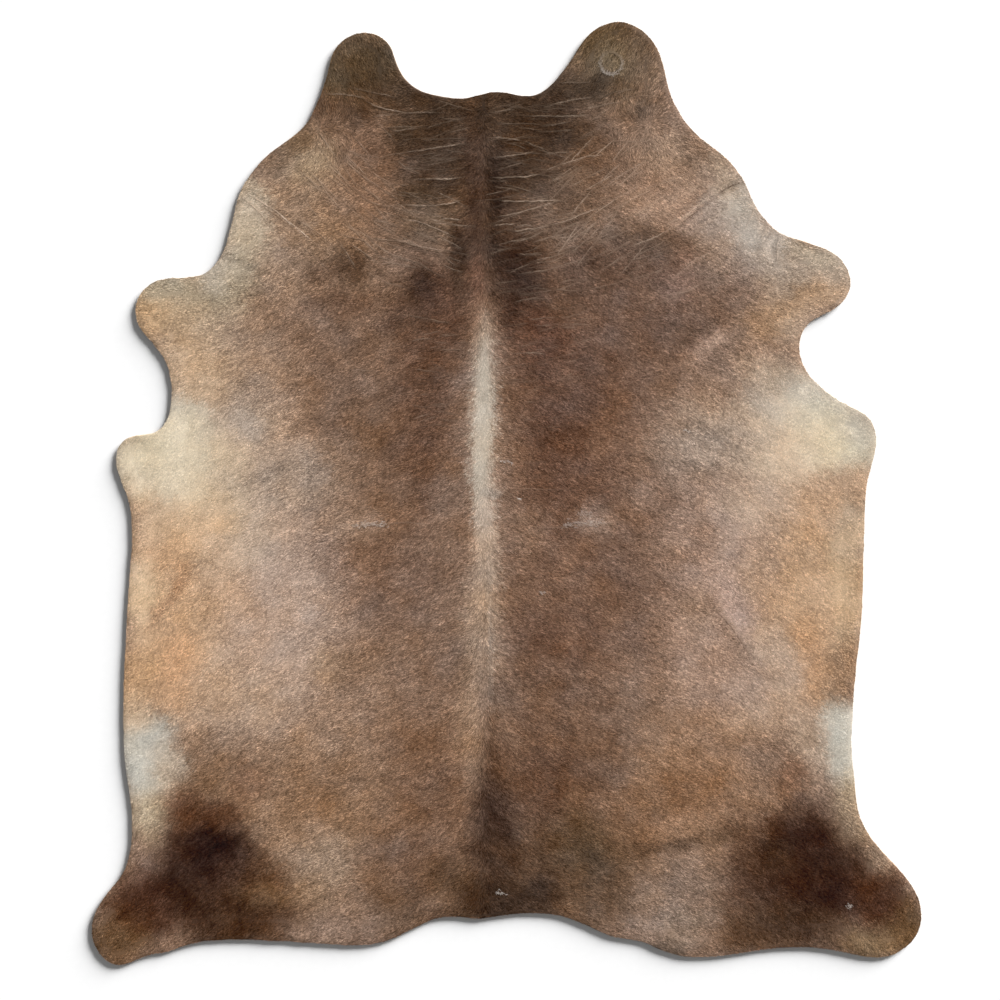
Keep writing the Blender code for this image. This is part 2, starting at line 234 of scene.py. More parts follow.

# Broad soft bands over old folds: painted light and shade of the low folds, where the hair also lies
# a little differently: an arc, half the band's width, and how much lighter it is, below 0 where it
# is darker.
PAINTED_FOLD_BANDS = (
    # right shoulder and armpit
    (40.5, 31, 47.5, 35.2, 56, 43, 1.7, 0.32),
    (38, 35, 45, 38.6, 52.5, 45, 1.9, -0.18),
    (45.5, 29.6, 53, 34, 60, 38.5, 1.6, -0.14),
    (47.5, 58.5, 50, 52, 50.5, 45.5, 1.4, -0.12),
    (21, 61, 31, 63, 40, 66, 1, -0.12),
    (12, 54.5, 24, 56.3, 38, 58.5, 1.2, -0.1),
    # across the body
    (27, 8, 44, 7.5, 61, 7, 1, -0.13),
    (24, 10.4, 43, 9.9, 60, 9.4, 0.9, 0.06),
    (39, 13.8, 49, 15.6, 59, 14.2, 0.9, -0.08),
    (17, -2.2, 24, -2.6, 31, -2.2, 1.6, -0.1),
    (16, -6, 24, -6.8, 36, -6.8, 1.2, 0.08),
    (28, -9, 32, -9.2, 36.5, -8.8, 1.1, -0.1),
    (-69, 0.2, -57, 4.8, -40, 5.4, 1.4, -0.17),
    (-66, 4, -56, 8.6, -43, 9.4, 1.2, 0.07),
    (-60, 12, -50, 12.8, -38, 12, 1.2, 0.06),
    (-38, 16.5, -28, 14.5, -15, 15.5, 1.2, -0.06),
    (-46, -8.3, -31, -7.1, -13, -7.5, 0.9, 0.16),
    # left belly and flank
    (-84.5, -32.5, -77.5, -21, -62, -4, 1.5, -0.15),
    (-88, -24.5, -80, -13.5, -68, -3, 1.6, 0.05),
    (-86.5, -50.5, -84, -54, -80.5, -60, 1.3, -0.14),
    (-36.5, -36, -39.5, -43, -43.5, -49, 1.5, -0.14),
    (-36.5, -31, -41, -40, -45.5, -47.5, 1.2, 0.09),
    (-24, -40, -24.5, -44.5, -25, -49, 1.3, -0.12),
    (-12.8, -31, -12.2, -38, -13, -46, 1.3, -0.1),
    # right flank
    (50, -20.5, 54, -28, 60, -35, 1.3, 0.09),
    (46, -26.5, 52, -31, 59, -41, 1.3, -0.12),
    (85.5, -32.5, 79, -42, 75.5, -57, 1.5, -0.12),
    (51, -2, 53, -14, 60, -27, 1, 0.05),
    # rump
    (31, -82.5, 43, -80, 58, -75, 1.7, 0.28),
    (26.5, -86.2, 43.5, -86, 60.5, -78.9, 1.7, -0.4),
    (37, -88.6, 45, -88.4, 56, -85.4, 1.5, 0.1),
    (13.5, -79, 17.5, -85.5, 23.5, -89.5, 1.6, -0.16),
    (40, -108.4, 47, -108.2, 55, -107.8, 1.2, 0.12),
    (38, -111, 48, -111.4, 60, -110.4, 1.2, -0.22),
    (-22, -101.5, -17, -99.5, -12, -97, 1.6, 0.2),
    (-62, -72, -57, -84, -50, -98, 2.4, 0.08),
    (-46, -70.2, -36, -69.6, -27, -69.2, 1, -0.07),
    # lobes
    (-44, 101, -36, 101.2, -28, 101, 0.9, -0.14),
    (-8, 93, -16, 88.5, -25, 86.5, 2, -0.08),
)

# Where many faint short wrinkles lie side by side: x from, x to, y from, y to, how many,
# their length, their tilt in degrees, and how strongly they show.
FINE_WRINKLES = (
    (-21, -10, 16, 45, 46, 5, 0, 0.34),
    (-2, 20, 28, 52, 60, 7, 5, 0.34),
    (-2, 14, 4, 28, 22, 5, 3, 0.26),
    (-28, -11, 72, 96, 50, 8, 4, 0.34),
    (-30, -12, 54, 72, 46, 8, -24, 0.55),
    (-3, 14, 72, 95, 46, 8, 2, 0.38),
    (-3, 16, 54, 72, 42, 8, 14, 0.5),
    (12, 32, 56, 84, 50, 9, 40, 0.62),
    (-48, -28, 56, 86, 40, 9, -42, 0.55),
    (18, 36, 84, 98, 18, 7, 14, 0.34),
    (28, 54, 48, 76, 36, 10, 28, 0.5),
    (28, 42, -58, -46, 16, 6, 28, 0.28),
    (-60, -30, -95, -60, 16, 5, 0, 0.2),
    (20, 56, -95, -60, 16, 5, 0, 0.2),
)

# Old scratches that healed with white hairs: an arc, how far the hairs scatter, how many they
# are, and how white.
SCRATCHES = (
    (-37, -7.9, -33, -7.2, -29.2, -7.5, 0.4, 90, 0.28),
    (13.2, -7.9, 18.4, -7.2, 23.6, -6.8, 0.4, 90, 0.26),
    (17.6, -5.2, 19, -4.9, 20.4, -5.2, 0.5, 30, 0.25),
    (43.2, 15.6, 43.7, 15.4, 44.2, 15.2, 0.2, 10, 0.5),
    (-2, 8, -0.2, 7.9, 1.5, 7.2, 0.15, 14, 0.4),
    (2.4, -1, 2.8, -1.1, 3.2, -1.2, 0.15, 6, 0.5),
    (8.2, -24, 8.6, -24.1, 9, -24, 0.2, 8, 0.4),
    (83, -100.4, 83.3, -100.6, 83.6, -100.8, 0.3, 16, 0.4),
    (-2.3, -97.4, -1.6, -97.4, -0.9, -97.3, 0.3, 18, 0.4),
)
SCAR_RING = (25.4, 104.8, 2.7)  # an old round scar on the right neck lobe: x, y and radius

# ---- how the hair grows

# Hair runs down the spine and turns outward, across the back towards the belly. These places
# pull it another way: (place, x, y, reach, angle in degrees from +x, pull).
GROWTH = (
    ("neck, left", -18, 84, 13, 180, 3),
    ("neck, right", 6, 84, 13, 0, 3),
    ("neck root, left", -22, 64, 11, 200, 1.8),
    ("neck root, right", 12, 64, 11, -20, 1.8),
    ("lobe, left", -36, 105, 9, 100, 4),
    ("lobe, right", 27, 107, 10, 80, 4),
    ("neck cut", -5, 97, 6, 90, 1.2),
    ("shoulder, left", -58, 72, 12, 200, 1.2),
    ("shoulder, right", 52, 72, 12, -20, 1.2),
    ("foreleg, left", -84, 45, 12, 180, 3),
    ("foreleg, right", 78, 51, 12, -6, 3),
    ("hind leg, left", -88, -102, 16, -135, 2.5),
    ("hind leg, right", 90, -99, 16, -45, 2.5),
)
# Crowns that the hair grows away from on all sides: (x, y, reach, pull).
CROWNS = (
    (-46.2, 88.7, 9, 3.5),
    (35.2, 89.9, 9, 3.5),
)
STRIPE = (-34, 43)  # the part of the spine where the pale stripe's hair fans out
FAN = 0.75  # how much further it leans outward there
FAN_PLACE = 4.6  # from the spine
FAN_HALF = 2.2
FAN_TOP = 4  # half the length over which the fan dies away at the stripe's upper end
FAN_TAIL = 8  # the length over which it dies away below the stripe
LEAN = 2.2  # how far hair leans outward on the back, as a slope
LEAN_START = 4  # how far from the spine it has most of that lean
BELLY_LEAN = 0.7  # how much less it leans on the belly
BELLY_SIDE = (40, 70)  # from where to where the belly starts, from the spine

# ---- the coat's markings

GROUND = (133, 108, 91)  # the colour between the markings

# Each marking: (name, x, y, half width, half height, strength, colour), and where its shape is
# not the usual one, its turn in degrees and how sharp its edge is.
USUAL_SHAPE = (0, 3)
PATCHES = (
    # broad grounds
    ("back, left", -27.5, 12, 23, 40, 0.88, (117, 91, 73)),
    ("back, right", 16, 10, 22, 46, 0.85, (114, 87, 71)),
    ("back by the stripe, left", -18.3, 25, 9.3, 26, 0.9, (95, 70, 56)),
    ("back by the stripe, right", 11, 22, 12, 24, 0.85, (97, 70, 55)),
    ("flank, left", -58, -28, 19, 34, 0.92, (181, 156, 138), 4, 3),
    ("flank, right", 52, -29, 14.5, 33, 0.87, (163, 137, 121), -6, 3),
    ("side, left", -66, 22, 13, 26, 0.8, (160, 134, 112)),
    ("side, right", 62, 22, 13, 22, 0.8, (160, 134, 116), -15, 3),
    ("shoulder, left", -50, 66, 17, 17, 0.85, (146, 119, 96), -15, 3),
    ("shoulder, right", 38, 76, 19, 12, 0.85, (150, 122, 102), 22, 3),
    ("upper arm, right", 34, 44, 22, 14, 0.75, (109, 84, 69), 10, 3),
    ("rump, left", -50, -78, 26, 22, 0.8, (142, 114, 91)),
    ("rump, right", 44, -74, 22, 22, 0.85, (138, 107, 83)),
    ("rump, middle left", -18, -73.5, 13, 24, 0.8, (116, 87, 67)),
    ("rump, middle right", 16, -67, 12.5, 29, 0.8, (104, 78, 61), 14, 3),
    ("hip, right", 40, -99.5, 12.5, 10, 0.8, (140, 118, 102)),
    # belly, left side from the foreleg down
    ("foreleg, left", -81, 46, 13, 10, 0.9, (176, 153, 127), 0, 4),
    ("foreleg tip, left", -87, 44, 5, 5, 0.6, (186, 152, 115)),
    ("foreleg upper edge, left", -83, 49.5, 8, 3.2, 0.8, (174, 160, 138)),
    ("elbow, left", -75, 31, 9, 9, 0.85, (190, 162, 133)),
    ("foreleg root, left", -68, 50, 8, 5, 0.8, (153, 140, 120), 20, 3),
    ("off-white bay, left", -80, 18, 6.5, 6, 0.95, (193, 183, 166)),
    ("cream corner, left", -83, 8, 14, 9, 0.97, (219, 204, 176), 0, 3.5),
    ("behind the corner, left", -70, 4, 9, 12, 0.85, (206, 183, 155), 10, 3),
    ("belly upper, left", -78, -6.5, 14, 9, 0.9, (206, 177, 146)),
    ("belly, left", -80, -33, 12, 22, 0.92, (192, 156, 122)),
    ("belly edge, left", -89.5, -25.5, 3.5, 9, 0.85, (209, 182, 151)),
    ("belly streak low, left", -82.3, -25.5, 7, 1.6, 0.75, (168, 128, 97), 57, 3),
    ("tan flank, left", -79, -43, 5, 8, 0.65, (195, 150, 113), 8, 3),
    ("tan edge, left", -90, -44, 5, 7, 0.7, (184, 146, 108)),
    ("off-white patch, left", -87.5, -64, 8.5, 11, 0.97, (186, 180, 168), -8, 6),
    ("off-white tail, left", -88, -79, 5, 6, 0.8, (176, 160, 135)),
    ("brown by the patch, left", -73.5, -68, 6, 8, 0.8, (122, 92, 68), 20, 3),
    # belly, right side from the foreleg down
    ("foreleg, right", 74, 54, 12, 7, 0.9, (172, 153, 136), -20, 4),
    ("foreleg tan, right", 75, 47.5, 9, 3.6, 0.75, (186, 153, 122), 20, 3),
    ("foreleg tan root, right", 63.5, 44, 8, 5, 0.8, (160, 129, 101), 20, 3),
    ("foreleg upper edge, right", 74, 58, 8, 3, 0.7, (178, 164, 145), -22, 3),
    ("pale front, right", 70, 15, 17, 13, 0.9, (209, 191, 170), -10, 3.5),
    ("off-white bay, right", 75, 22, 10, 5.5, 0.95, (212, 203, 186), -15, 3),
    ("inner bay, right", 62, 27, 6, 6, 0.85, (176, 158, 140)),
    ("cream corner, right", 80, 13, 12, 7, 0.95, (216, 201, 174), -10, 3.5),
    ("cream point, right", 87, 16, 5, 4, 0.8, (209, 195, 174)),
    ("behind the corner, right", 66, 11, 8, 8, 0.85, (208, 183, 157)),
    ("brown by the corner, right", 81.5, 3.5, 8, 4, 0.8, (182, 151, 125)),
    ("belly upper, right", 72, -4.5, 10, 8, 0.85, (184, 155, 130)),
    ("belly, right", 76, -28, 11, 20.5, 0.92, (196, 163, 131)),
    ("belly edge, right", 83, -20, 4, 14, 0.7, (203, 173, 138)),
    ("tan flank, right", 74, -41.5, 5, 9.5, 0.85, (181, 142, 109)),
    ("brown flank edge, right", 82.5, -41.5, 4, 4.5, 0.85, (156, 122, 93)),
    ("flank low pale, right", 64, -54, 11, 5, 0.7, (181, 155, 133), 8, 3),
    ("off-white patch, right", 82.3, -61, 6.6, 11.5, 0.97, (206, 198, 183), 4, 6),
    ("off-white tail, right", 84, -75, 4, 6, 0.75, (180, 160, 132)),
    ("hock edge, right", 90.3, -86.7, 4.3, 5, 0.88, (172, 148, 127), -50, 3),
    # flanks and sides in detail
    ("grey side, left", -52.5, 4.5, 12, 8, 0.75, (168, 147, 129)),
    ("grey side, right", 48, 14, 12, 8, 0.8, (160, 141, 125)),
    ("pale rib, right", 56, -28, 3.5, 10, 0.65, (179, 155, 143), 20, 2.5),
    ("flank low, right", 61.5, -44, 8, 9, 0.7, (176, 150, 131)),
    ("flank low, left", -67, -49, 12, 8, 0.6, (180, 153, 129)),
    ("rib dark, left", -30, -19, 12, 12, 0.7, (122, 95, 78)),
    ("hip dark, left", -38, -44, 7, 8, 0.6, (130, 103, 83), 30, 3),
    ("rib dark, right", 29, -25, 10, 15, 0.7, (113, 86, 69)),
    ("spots, right", 56, -35, 4.5, 1.6, 0.6, (148, 122, 103), -55, 2.5),
    ("thigh warm, left", -48, -71, 17, 8, 0.65, (132, 101, 77), -12, 3),
    ("thigh warm, right", 44.5, -73, 9.5, 5.5, 0.75, (121, 90, 67)),
    ("thigh pale, left", -45, -91, 8, 6, 0.8, (157, 134, 114)),
    ("rump dark, left", -23.5, -90, 8.5, 8.5, 0.6, (112, 87, 71), -30, 3),
    ("rump dark, right", 18.5, -88, 8, 10, 0.8, (86, 69, 53), 40, 3),
    # shoulders in detail
    ("shoulder pale, left", -63, 65.5, 5.5, 9, 0.95, (181, 166, 146), -8, 3.5),
    ("shoulder point, left", -60.5, 74, 5, 2.3, 0.75, (180, 161, 138), -33, 3),
    ("shoulder lower, left", -66, 57, 6, 5, 0.8, (172, 158, 138), 30, 3),
    ("shoulder grey, left", -47, 81, 6, 5, 0.8, (158, 137, 113)),
    ("shoulder edge, left", -52, 85, 5, 2.5, 0.8, (124, 98, 74), 40, 3),
    ("shoulder pale, right", 56, 70.5, 6.5, 5.5, 0.95, (198, 185, 169), -30, 3.5),
    ("shoulder lower, right", 57, 63, 8, 6, 0.85, (178, 162, 146), -30, 3),
    ("shoulder upper, right", 53, 78.5, 7, 4, 0.85, (174, 153, 133), -40, 3),
    ("shoulder brown, right", 45, 84, 5, 3, 0.8, (130, 104, 84), -40, 3),
    ("shoulder pink, right", 42, 70, 8, 5, 0.7, (164, 138, 120), 10, 3),
    ("shoulder grey, right", 50, 62, 6, 5, 0.85, (165, 147, 134)),
    ("foreleg grey, right", 65, 54, 6, 6, 0.8, (174, 158, 143)),
    ("shoulder streak, right", 60, 62, 4, 4, 0.85, (194, 180, 166), -60, 3),
    ("armpit pale, right", 51, 37, 8, 1.5, 0.65, (154, 128, 110), 38, 3),
    ("shadow, right", 34, 61, 9, 4, 0.85, (98, 77, 62), -8, 3),
    ("shadow low, right", 24, 55, 14, 6, 0.82, (94, 72, 59)),
    ("pink, right", 42, 54, 4, 6, 0.6, (138, 110, 96), 0, 2.5),
    # neck
    ("neck, left", -16, 82, 11, 16, 0.95, (71, 53, 40), 0, 4),
    ("neck, right", 5, 83, 11, 16, 0.95, (68, 51, 39), -10, 4),
    ("neck side, left", -31.3, 78, 8.8, 14, 0.88, (129, 98, 76)),
    ("neck side, right", 19.5, 81.5, 7.4, 10, 0.85, (104, 79, 61), 10, 3),
    ("neck lower, left", -18.5, 66, 9, 6, 0.85, (108, 88, 72)),
    ("neck lower, right", 12, 66, 12, 8, 0.8, (106, 85, 70), 15, 3),
    ("nape, left", -24, 87, 4, 3.5, 0.7, (60, 46, 35)),
    ("nape, right", 14, 87, 6, 4, 0.7, (64, 49, 38), 15, 3),
    ("nape warm, left", -20, 78, 5, 3, 0.6, (88, 68, 54), 0, 2.5),
    ("nape dark, left", -22, 74, 4.5, 2.5, 0.6, (66, 52, 39)),
    ("lobe, left", -35, 104, 10, 10, 0.97, (84, 68, 51), 0, 4),
    ("lobe edge, left", -42, 100, 3, 7, 0.7, (96, 80, 62), 12, 3),
    ("lobe root, left", -41, 92.2, 9, 4.8, 0.92, (86, 64, 48)),
    ("lobe, right", 26, 105, 11, 10, 0.97, (100, 80, 61), 0, 4),
    ("lobe top, right", 22, 110, 6, 4, 0.85, (86, 68, 47), 20, 3),
    ("lobe pale, right", 26, 104, 4, 3.2, 0.8, (122, 105, 83)),
    ("lobe band, right", 20, 98.5, 8, 3, 0.9, (68, 54, 42), 5, 3),
    ("lobe root, right", 28, 93, 9, 3.5, 0.75, (112, 88, 70), 8, 3),
    ("lobe spot, right", 33.5, 93, 2.6, 1.9, 0.75, (86, 68, 54)),
    ("whorl pale, right", 37, 85, 6, 4, 0.6, (158, 132, 110)),
    # dark blotches
    ("blotch, left", -38.5, 57, 4.8, 5.5, 0.85, (88, 68, 54)),
    ("blotch side, left", -46, 54, 4.5, 4, 0.7, (100, 77, 62)),
    ("blotch low, left", -40, 45.5, 7, 3.5, 0.75, (102, 78, 63)),
    ("blotch inner, left", -20, 50, 4.5, 4, 0.9, (64, 46, 35)),
    ("red, left", -14.8, 44.5, 6.6, 8.5, 0.8, (88, 62, 48)),
    ("withers, right", 1.5, 55, 6.2, 12.5, 0.94, (56, 39, 30), 6, 2.6),
    ("withers, left", -10.6, 58, 2.5, 9.5, 0.88, (53, 38, 29), 0, 3.5),
    ("red upper, left", -24, 42, 6, 5, 0.7, (90, 67, 53)),
    ("red, right", 8, 38, 8, 7, 0.75, (92, 64, 51)),
    # tail and hocks
    ("tail head", -2.8, -82, 4.8, 19, 0.92, (60, 43, 34), 2, 4),
    ("tail head low", -5, -92, 7, 9, 0.85, (76, 56, 43), 0, 3.5),
    ("tail side, left", -14, -94, 6, 4, 0.8, (88, 67, 51), -25, 3),
    ("tail head top", -2.5, -66, 4, 6, 0.7, (100, 75, 59)),
    ("tail end", -5, -101, 11, 5, 0.9, (58, 43, 33)),
    ("tail side, right", 7, -89, 6.5, 9, 0.75, (80, 60, 46)),
    ("hock, left", -73, -92, 13, 13, 0.97, (56, 37, 28), -30, 4),
    ("hock core, left", -72, -85, 7.5, 5.5, 0.9, (44, 28, 22), -10, 3),
    ("hock core low, left", -80, -97, 6, 5, 0.9, (44, 28, 20)),
    ("hock inner, left", -59.5, -102.5, 8.5, 9.5, 0.9, (78, 55, 40), 0, 3.5),
    ("hock foot, left", -69, -105, 9, 6, 0.9, (62, 43, 31)),
    ("hind leg red, left", -88.5, -100.5, 6.5, 6.5, 0.9, (76, 49, 36)),
    ("hind leg tip, left", -94.5, -108.5, 7.5, 6, 0.95, (97, 74, 54), 0, 3.5),
    ("hock spot, left", -58.8, -99.3, 4.3, 2.8, 0.6, (122, 95, 70)),
    ("hock, right", 73, -93, 13, 14, 0.97, (58, 39, 30), 20, 4),
    ("hock core, right", 71, -82.5, 9, 5.3, 0.93, (46, 29, 23)),
    ("hock core low, right", 82, -97, 6, 5, 0.9, (44, 26, 20)),
    ("hock inner, right", 59, -90, 7, 10.5, 0.87, (82, 58, 43), -15, 3.5),
    ("hock foot, right", 67, -106.5, 15, 6, 0.9, (70, 50, 36), 0, 3.5),
    ("hind leg red, right", 90.3, -100.5, 8.5, 5, 0.88, (76, 50, 36), -20, 3),
    ("hind leg tip, right", 97, -105, 5, 7, 0.9, (104, 78, 53), 0, 3.5),
    ("hind leg olive, right", 88.5, -110, 6.5, 3.5, 0.9, (120, 95, 68)),
    # rims and seams between the markings
    ("cream inner, left", -77, 7, 7, 8, 0.8, (212, 198, 174)),
    ("cream low, left", -84.5, 3, 7, 4, 0.8, (214, 199, 175)),
    ("belly pale top, left", -67, -16, 6, 5, 0.7, (197, 173, 151)),
    ("belly pale top, right", 59, -2, 8, 6, 0.9, (190, 168, 150)),
    ("belly edge top, right", 85, -8, 5, 7, 0.8, (197, 174, 149)),
    ("flank side, right", 62, -19, 5, 7, 0.7, (182, 155, 133)),
    ("side brown, right", 54, 27, 6, 5, 0.75, (141, 115, 97)),
    ("arm grey, right", 51, 56, 6, 5, 0.7, (149, 129, 115)),
    ("arm pale, left", -55.5, 56.5, 5, 7, 0.7, (161, 136, 116)),
    ("foreleg root pale, left", -71.5, 53.5, 4.5, 3.5, 0.75, (184, 171, 154)),
    ("foreleg root pale, right", 71, 41, 5, 5, 0.75, (184, 159, 136)),
    ("patch side, left", -81.5, -68, 4, 6, 0.7, (178, 157, 135)),
    ("patch side, right", 73.5, -61.5, 4.5, 8, 0.75, (180, 155, 132)),
    ("rump dark inner, right", 9, -72, 8, 9, 0.8, (94, 68, 52), -20, 3),
    ("rump rim, right", 20.5, -99, 7.5, 7, 0.85, (88, 68, 53)),
    ("rump rim, left", -24.5, -101, 7, 6, 0.8, (100, 76, 58)),
    ("tail end, right", 6, -99, 7, 5, 0.85, (58, 43, 33)),
    ("hip edge, left", -49, -98, 5, 4, 0.7, (148, 121, 97)),
    ("hock top, left", -77, -77, 5, 4, 0.8, (88, 59, 42)),
    ("hock edge top, right", 84.5, -78.5, 5, 6, 0.68, (170, 146, 121), -15, 3),
    ("hind leg core, left", -89.5, -103, 6, 4, 0.8, (70, 45, 31)),
    ("hind leg core, right", 90.5, -97.5, 5, 6, 0.85, (74, 46, 31), 0, 3.5),
    ("neck top, left", -20, 97, 12, 7, 0.85, (70, 54, 42)),
    ("neck top, right", 3, 96, 13, 8, 0.85, (62, 47, 36)),
    # spine
    ("spine", -7.2, 77, 2.4, 21, 0.75, (74, 55, 44), 0, 4),
    ("spine red core", -6.6, 68, 1.6, 8, 0.7, (68, 50, 40)),
    ("spine dark, right", -2.9, 69.5, 1.8, 12, 0.85, (44, 31, 24)),
    ("spine dark line", -5.8, 93, 1.6, 4.5, 0.8, (48, 36, 28)),
    ("spine red", -7, 52, 1.7, 6.5, 0.8, (106, 77, 62)),
    ("spine tan", -6.2, 44.5, 1.9, 3.4, 0.8, (114, 84, 66)),
    ("stripe glow", -4.9, 15, 7.4, 25, 0.65, (142, 117, 99), 3, 3),
    ("stripe", -5.8, 18, 3.2, 21, 0.9, (176, 159, 142), -1, 4),
    ("stripe core", -5.8, 15, 1.9, 21.5, 0.85, (190, 178, 162), -1, 5),
    ("stripe gap", -4.8, 0.8, 2, 1.1, 0.8, (150, 144, 136), 0, 2),
    ("stripe lower", -4.8, -6.5, 2.2, 7.5, 0.9, (194, 175, 158)),
    ("stripe tail", -4.5, -17.5, 2.7, 8.5, 0.85, (182, 161, 143)),
    ("stripe end", -5.8, -31, 4.6, 14, 0.8, (166, 142, 121)),
    ("stripe line", -4.1, -34, 0.5, 13, 0.6, (178, 160, 144)),
    ("stripe trail", -8.5, -56, 2.6, 15, 0.6, (150, 122, 98), 4, 3),
    ("spine dark trail", -3.2, -55, 1.2, 9, 0.5, (92, 69, 53)),
    # smaller blotches all over
    ("withers edge, right", 0.5, 42, 2.6, 5, 0.8, (66, 46, 36)),
    ("red upper, right", 14, 47, 5, 4, 0.8, (90, 68, 55)),
    ("thigh side, right", 69.5, -69.5, 3.5, 4, 0.8, (126, 90, 66)),
    ("thigh side, left", -63, -70, 4, 5, 0.75, (127, 94, 71)),
    ("side grey, left", -63, 17.5, 7, 5.5, 0.8, (177, 158, 141)),
    ("hock inner top, right", 64, -86, 4.5, 4.5, 0.85, (58, 40, 29)),
    ("hock top inner, left", -69.5, -78, 5, 3, 0.75, (84, 56, 40)),
    ("rib pale, left", -37, -7, 8, 4, 0.7, (153, 128, 109)),
    ("hip pale, left", -44, -42, 4, 5, 0.75, (168, 141, 118)),
    ("belly light, left", -86, -23.5, 3.5, 4.5, 0.8, (208, 180, 148)),
    ("flank edge low, left", -89.5, -53, 4, 5, 0.8, (190, 163, 135)),
    ("back warm, left", -13.5, -3, 4.5, 11, 0.62, (134, 108, 90)),
    ("side warm, right", 33, 2, 5, 5, 0.75, (148, 122, 105)),
    ("back grey, right", 22, -6.5, 4.5, 4, 0.75, (144, 121, 106)),
    ("back low, right", 11, -34, 10, 8, 0.75, (107, 78, 60)),
    ("pale rib top, right", 53.5, -11, 3.5, 5.5, 0.75, (174, 151, 136)),
    ("rib dark edge, right", 47.5, -30, 3.5, 6, 0.75, (139, 113, 94), 20, 3),
    ("flank pale upper, right", 65, -37, 4, 5, 0.8, (188, 162, 140)),
    ("flank pale mid, right", 67, -46.5, 3.5, 5, 0.8, (187, 161, 139)),
    ("bay edge, right", 72, 26, 4, 3, 0.85, (209, 197, 180)),
    ("armpit light, right", 66, 60, 3, 3.5, 0.85, (194, 177, 161)),
    ("rump edge, right", 38, -110.5, 6, 3, 0.8, (101, 85, 72), 10, 3),
    ("shoulder light, right", 45, 77, 5, 4, 0.75, (166, 142, 124)),
    ("crease side, right", 49, 70, 4, 3, 0.75, (172, 153, 138), 35, 3),
    ("hip light, right", 43, -104.5, 4.5, 3.5, 0.7, (146, 123, 104)),
    ("flank pale top, left", -60, -11, 5, 6, 0.75, (187, 167, 149)),
    ("back warm, right", 5, -8, 4.5, 6, 0.75, (134, 107, 88)),
)

CLOUDS = ((9, 4.5), (4, 6), (1.8, 6), (0.9, 4.5))  # mottling: size, strength
WARMTHS = ((11, 2.5), (4.5, 2.5))  # how the coat turns warmer and colder: size, strength
WARP = ((14, 1.6), (5, 1.2), (1.8, 0.5))  # how the markings' edges waver: size, reach
SPINE_HOLD = 0.8  # how much less they waver across the spine
SPINE_HOLD_HALF = 9
ACROSS_SEED, ALONG_SEED, CLOUD_SEED, WARM_SEED = 11, 21, 31, 41
HALF_VALUE = math.log(2)  # a marking has half its strength at its half width
COAT_GAIN = 1.248  # what the coat needs under this light to look as charted
GLOSS = 0.0095  # the light that the hairs' faint gloss adds, taken off their colour
SEED = 46  # of all other chance

# ---- sizes of what is made

FIELD_STEP = 0.2  # between the known values of the relief and the marks
EDGE_STEP = 0.5  # the same for the distance from the cut
FIELD_X = 104
FIELD_Y = 118
WHOLE = (-FIELD_X, FIELD_X, -FIELD_Y, FIELD_Y)  # x from, x to, y from, y to

OUTLINE_STEP = 0.7  # between points of the cut outline
CUT_WAVES = ((4, 0.10), (1.2, 0.05))  # the knife's unevenness: length of its waves, height
UPRIGHT = 0.2  # a face of the hair side has a normal that points up by more than this
LINE_FADE = 4  # a line dies away over one part in four of its length at each end
MARK_FADE = 5  # its painted highlight and its painted shade do so over one part in five
BAND_SWAY = 0.5  # how far a band's middle wanders, in half widths
BAND_UNEVEN = 0.35  # how much its strength changes along it
FINE_LENGTHS = (0.6, 1.4)  # how the faint wrinkles' lengths vary
FINE_TURN = 10  # how their tilts vary, in degrees
FINE_BOW = 0.25  # how far they bow
FINE_STRENGTHS = (0.3, 1.2)

SKIN_CELL = 1.1  # between the skin's points
NECK_CELL = 0.5
NECK = (-62, 62, 53, 97)  # x from, x to, y from, y to
CELL_SHIFT = 0.22  # how far a point may lie from the middle of its cell, in cells
SKIN_RINGS = (0.25, 0.7)  # how far in from the cut the skin's rings of points lie
SKIN_CLEAR = 1.1  # how far in from the cut the skin's uneven points start
UNDERSIDE_CELL = 2.2  # between those of its underside
THINNEST = 0.8  # the least thickness of leather and undercoat, in mm
CREASE_ROOM = 1.5  # how far in from the cut the relief reaches its full height
CREASE_AT_CUT = 0.3  # the part of its height that it has at the cut
RIM_BULGE = 0.03  # how far the cut rim bulges
RIM_UNEVEN = 0.02  # how much that changes along it

# Where the skin's sides lie on their square sheet: scales from metres, and lower left corners.
TOP_SCALE, TOP_PLACE = 0.28, (0.01, 0.01)
UNDER_SCALE, UNDER_PLACE = 0.17, (0.62, 0.01)
RIM_SCALE, RIM_PLACE = 1.27, (0.02, 0.69)
RIM_ROW = 0.75  # metres of the rim in one row
RIM_PITCH = 0.022  # from row to row

HAIR_PITCH = 0.211  # between the coat's hairs
HAIR_FROM_CUT = 0.05  # how far in from the cut the hairs start
HAIR_LENGTH = 0.75
HAIR_WIDTH = 0.2  # at the root
HAIR_SIZES = (0.7, 1.3)  # how lengths and widths vary
HAIR_ROOTS = (-0.2, 0.0)  # how high roots lie above the skin, in mm
HAIR_TIPS = (0.2, 0.45)
TIP_WAVES = 0.1  # how much higher or lower the tips of neighbours lie together
BELLY_SHORTER = 0.2  # how much shorter hair is at the belly's edges
BELLY_EDGE = (70, 92)  # from where to where that is, from the middle
HAIR_STRAY = 0.22  # how far single hairs turn from their neighbours, in radians
CLUMPS = ((2.2, 0.10), (6, 0.12))  # how far neighbours turn together: size, radians
HAIR_TINT = 0.8  # how much lighter or darker a single hair can be, as a power of e
PALE_TINT = 0.16  # the same in the palest parts of the coat
BRUSHED_TINT = 0.3  # how much of that hairs in one line of growth share
BRUSHED_WIDTH = 0.5
BRUSHED_STEPS = (-1.2, -0.6, 0.0, 0.6, 1.2)  # places along such a line
PALE = (0.45, 0.75)  # from where to where the coat turns pale, of its brightest
PATCHY_TINT = 0.2  # how much of the tint hairs side by side share
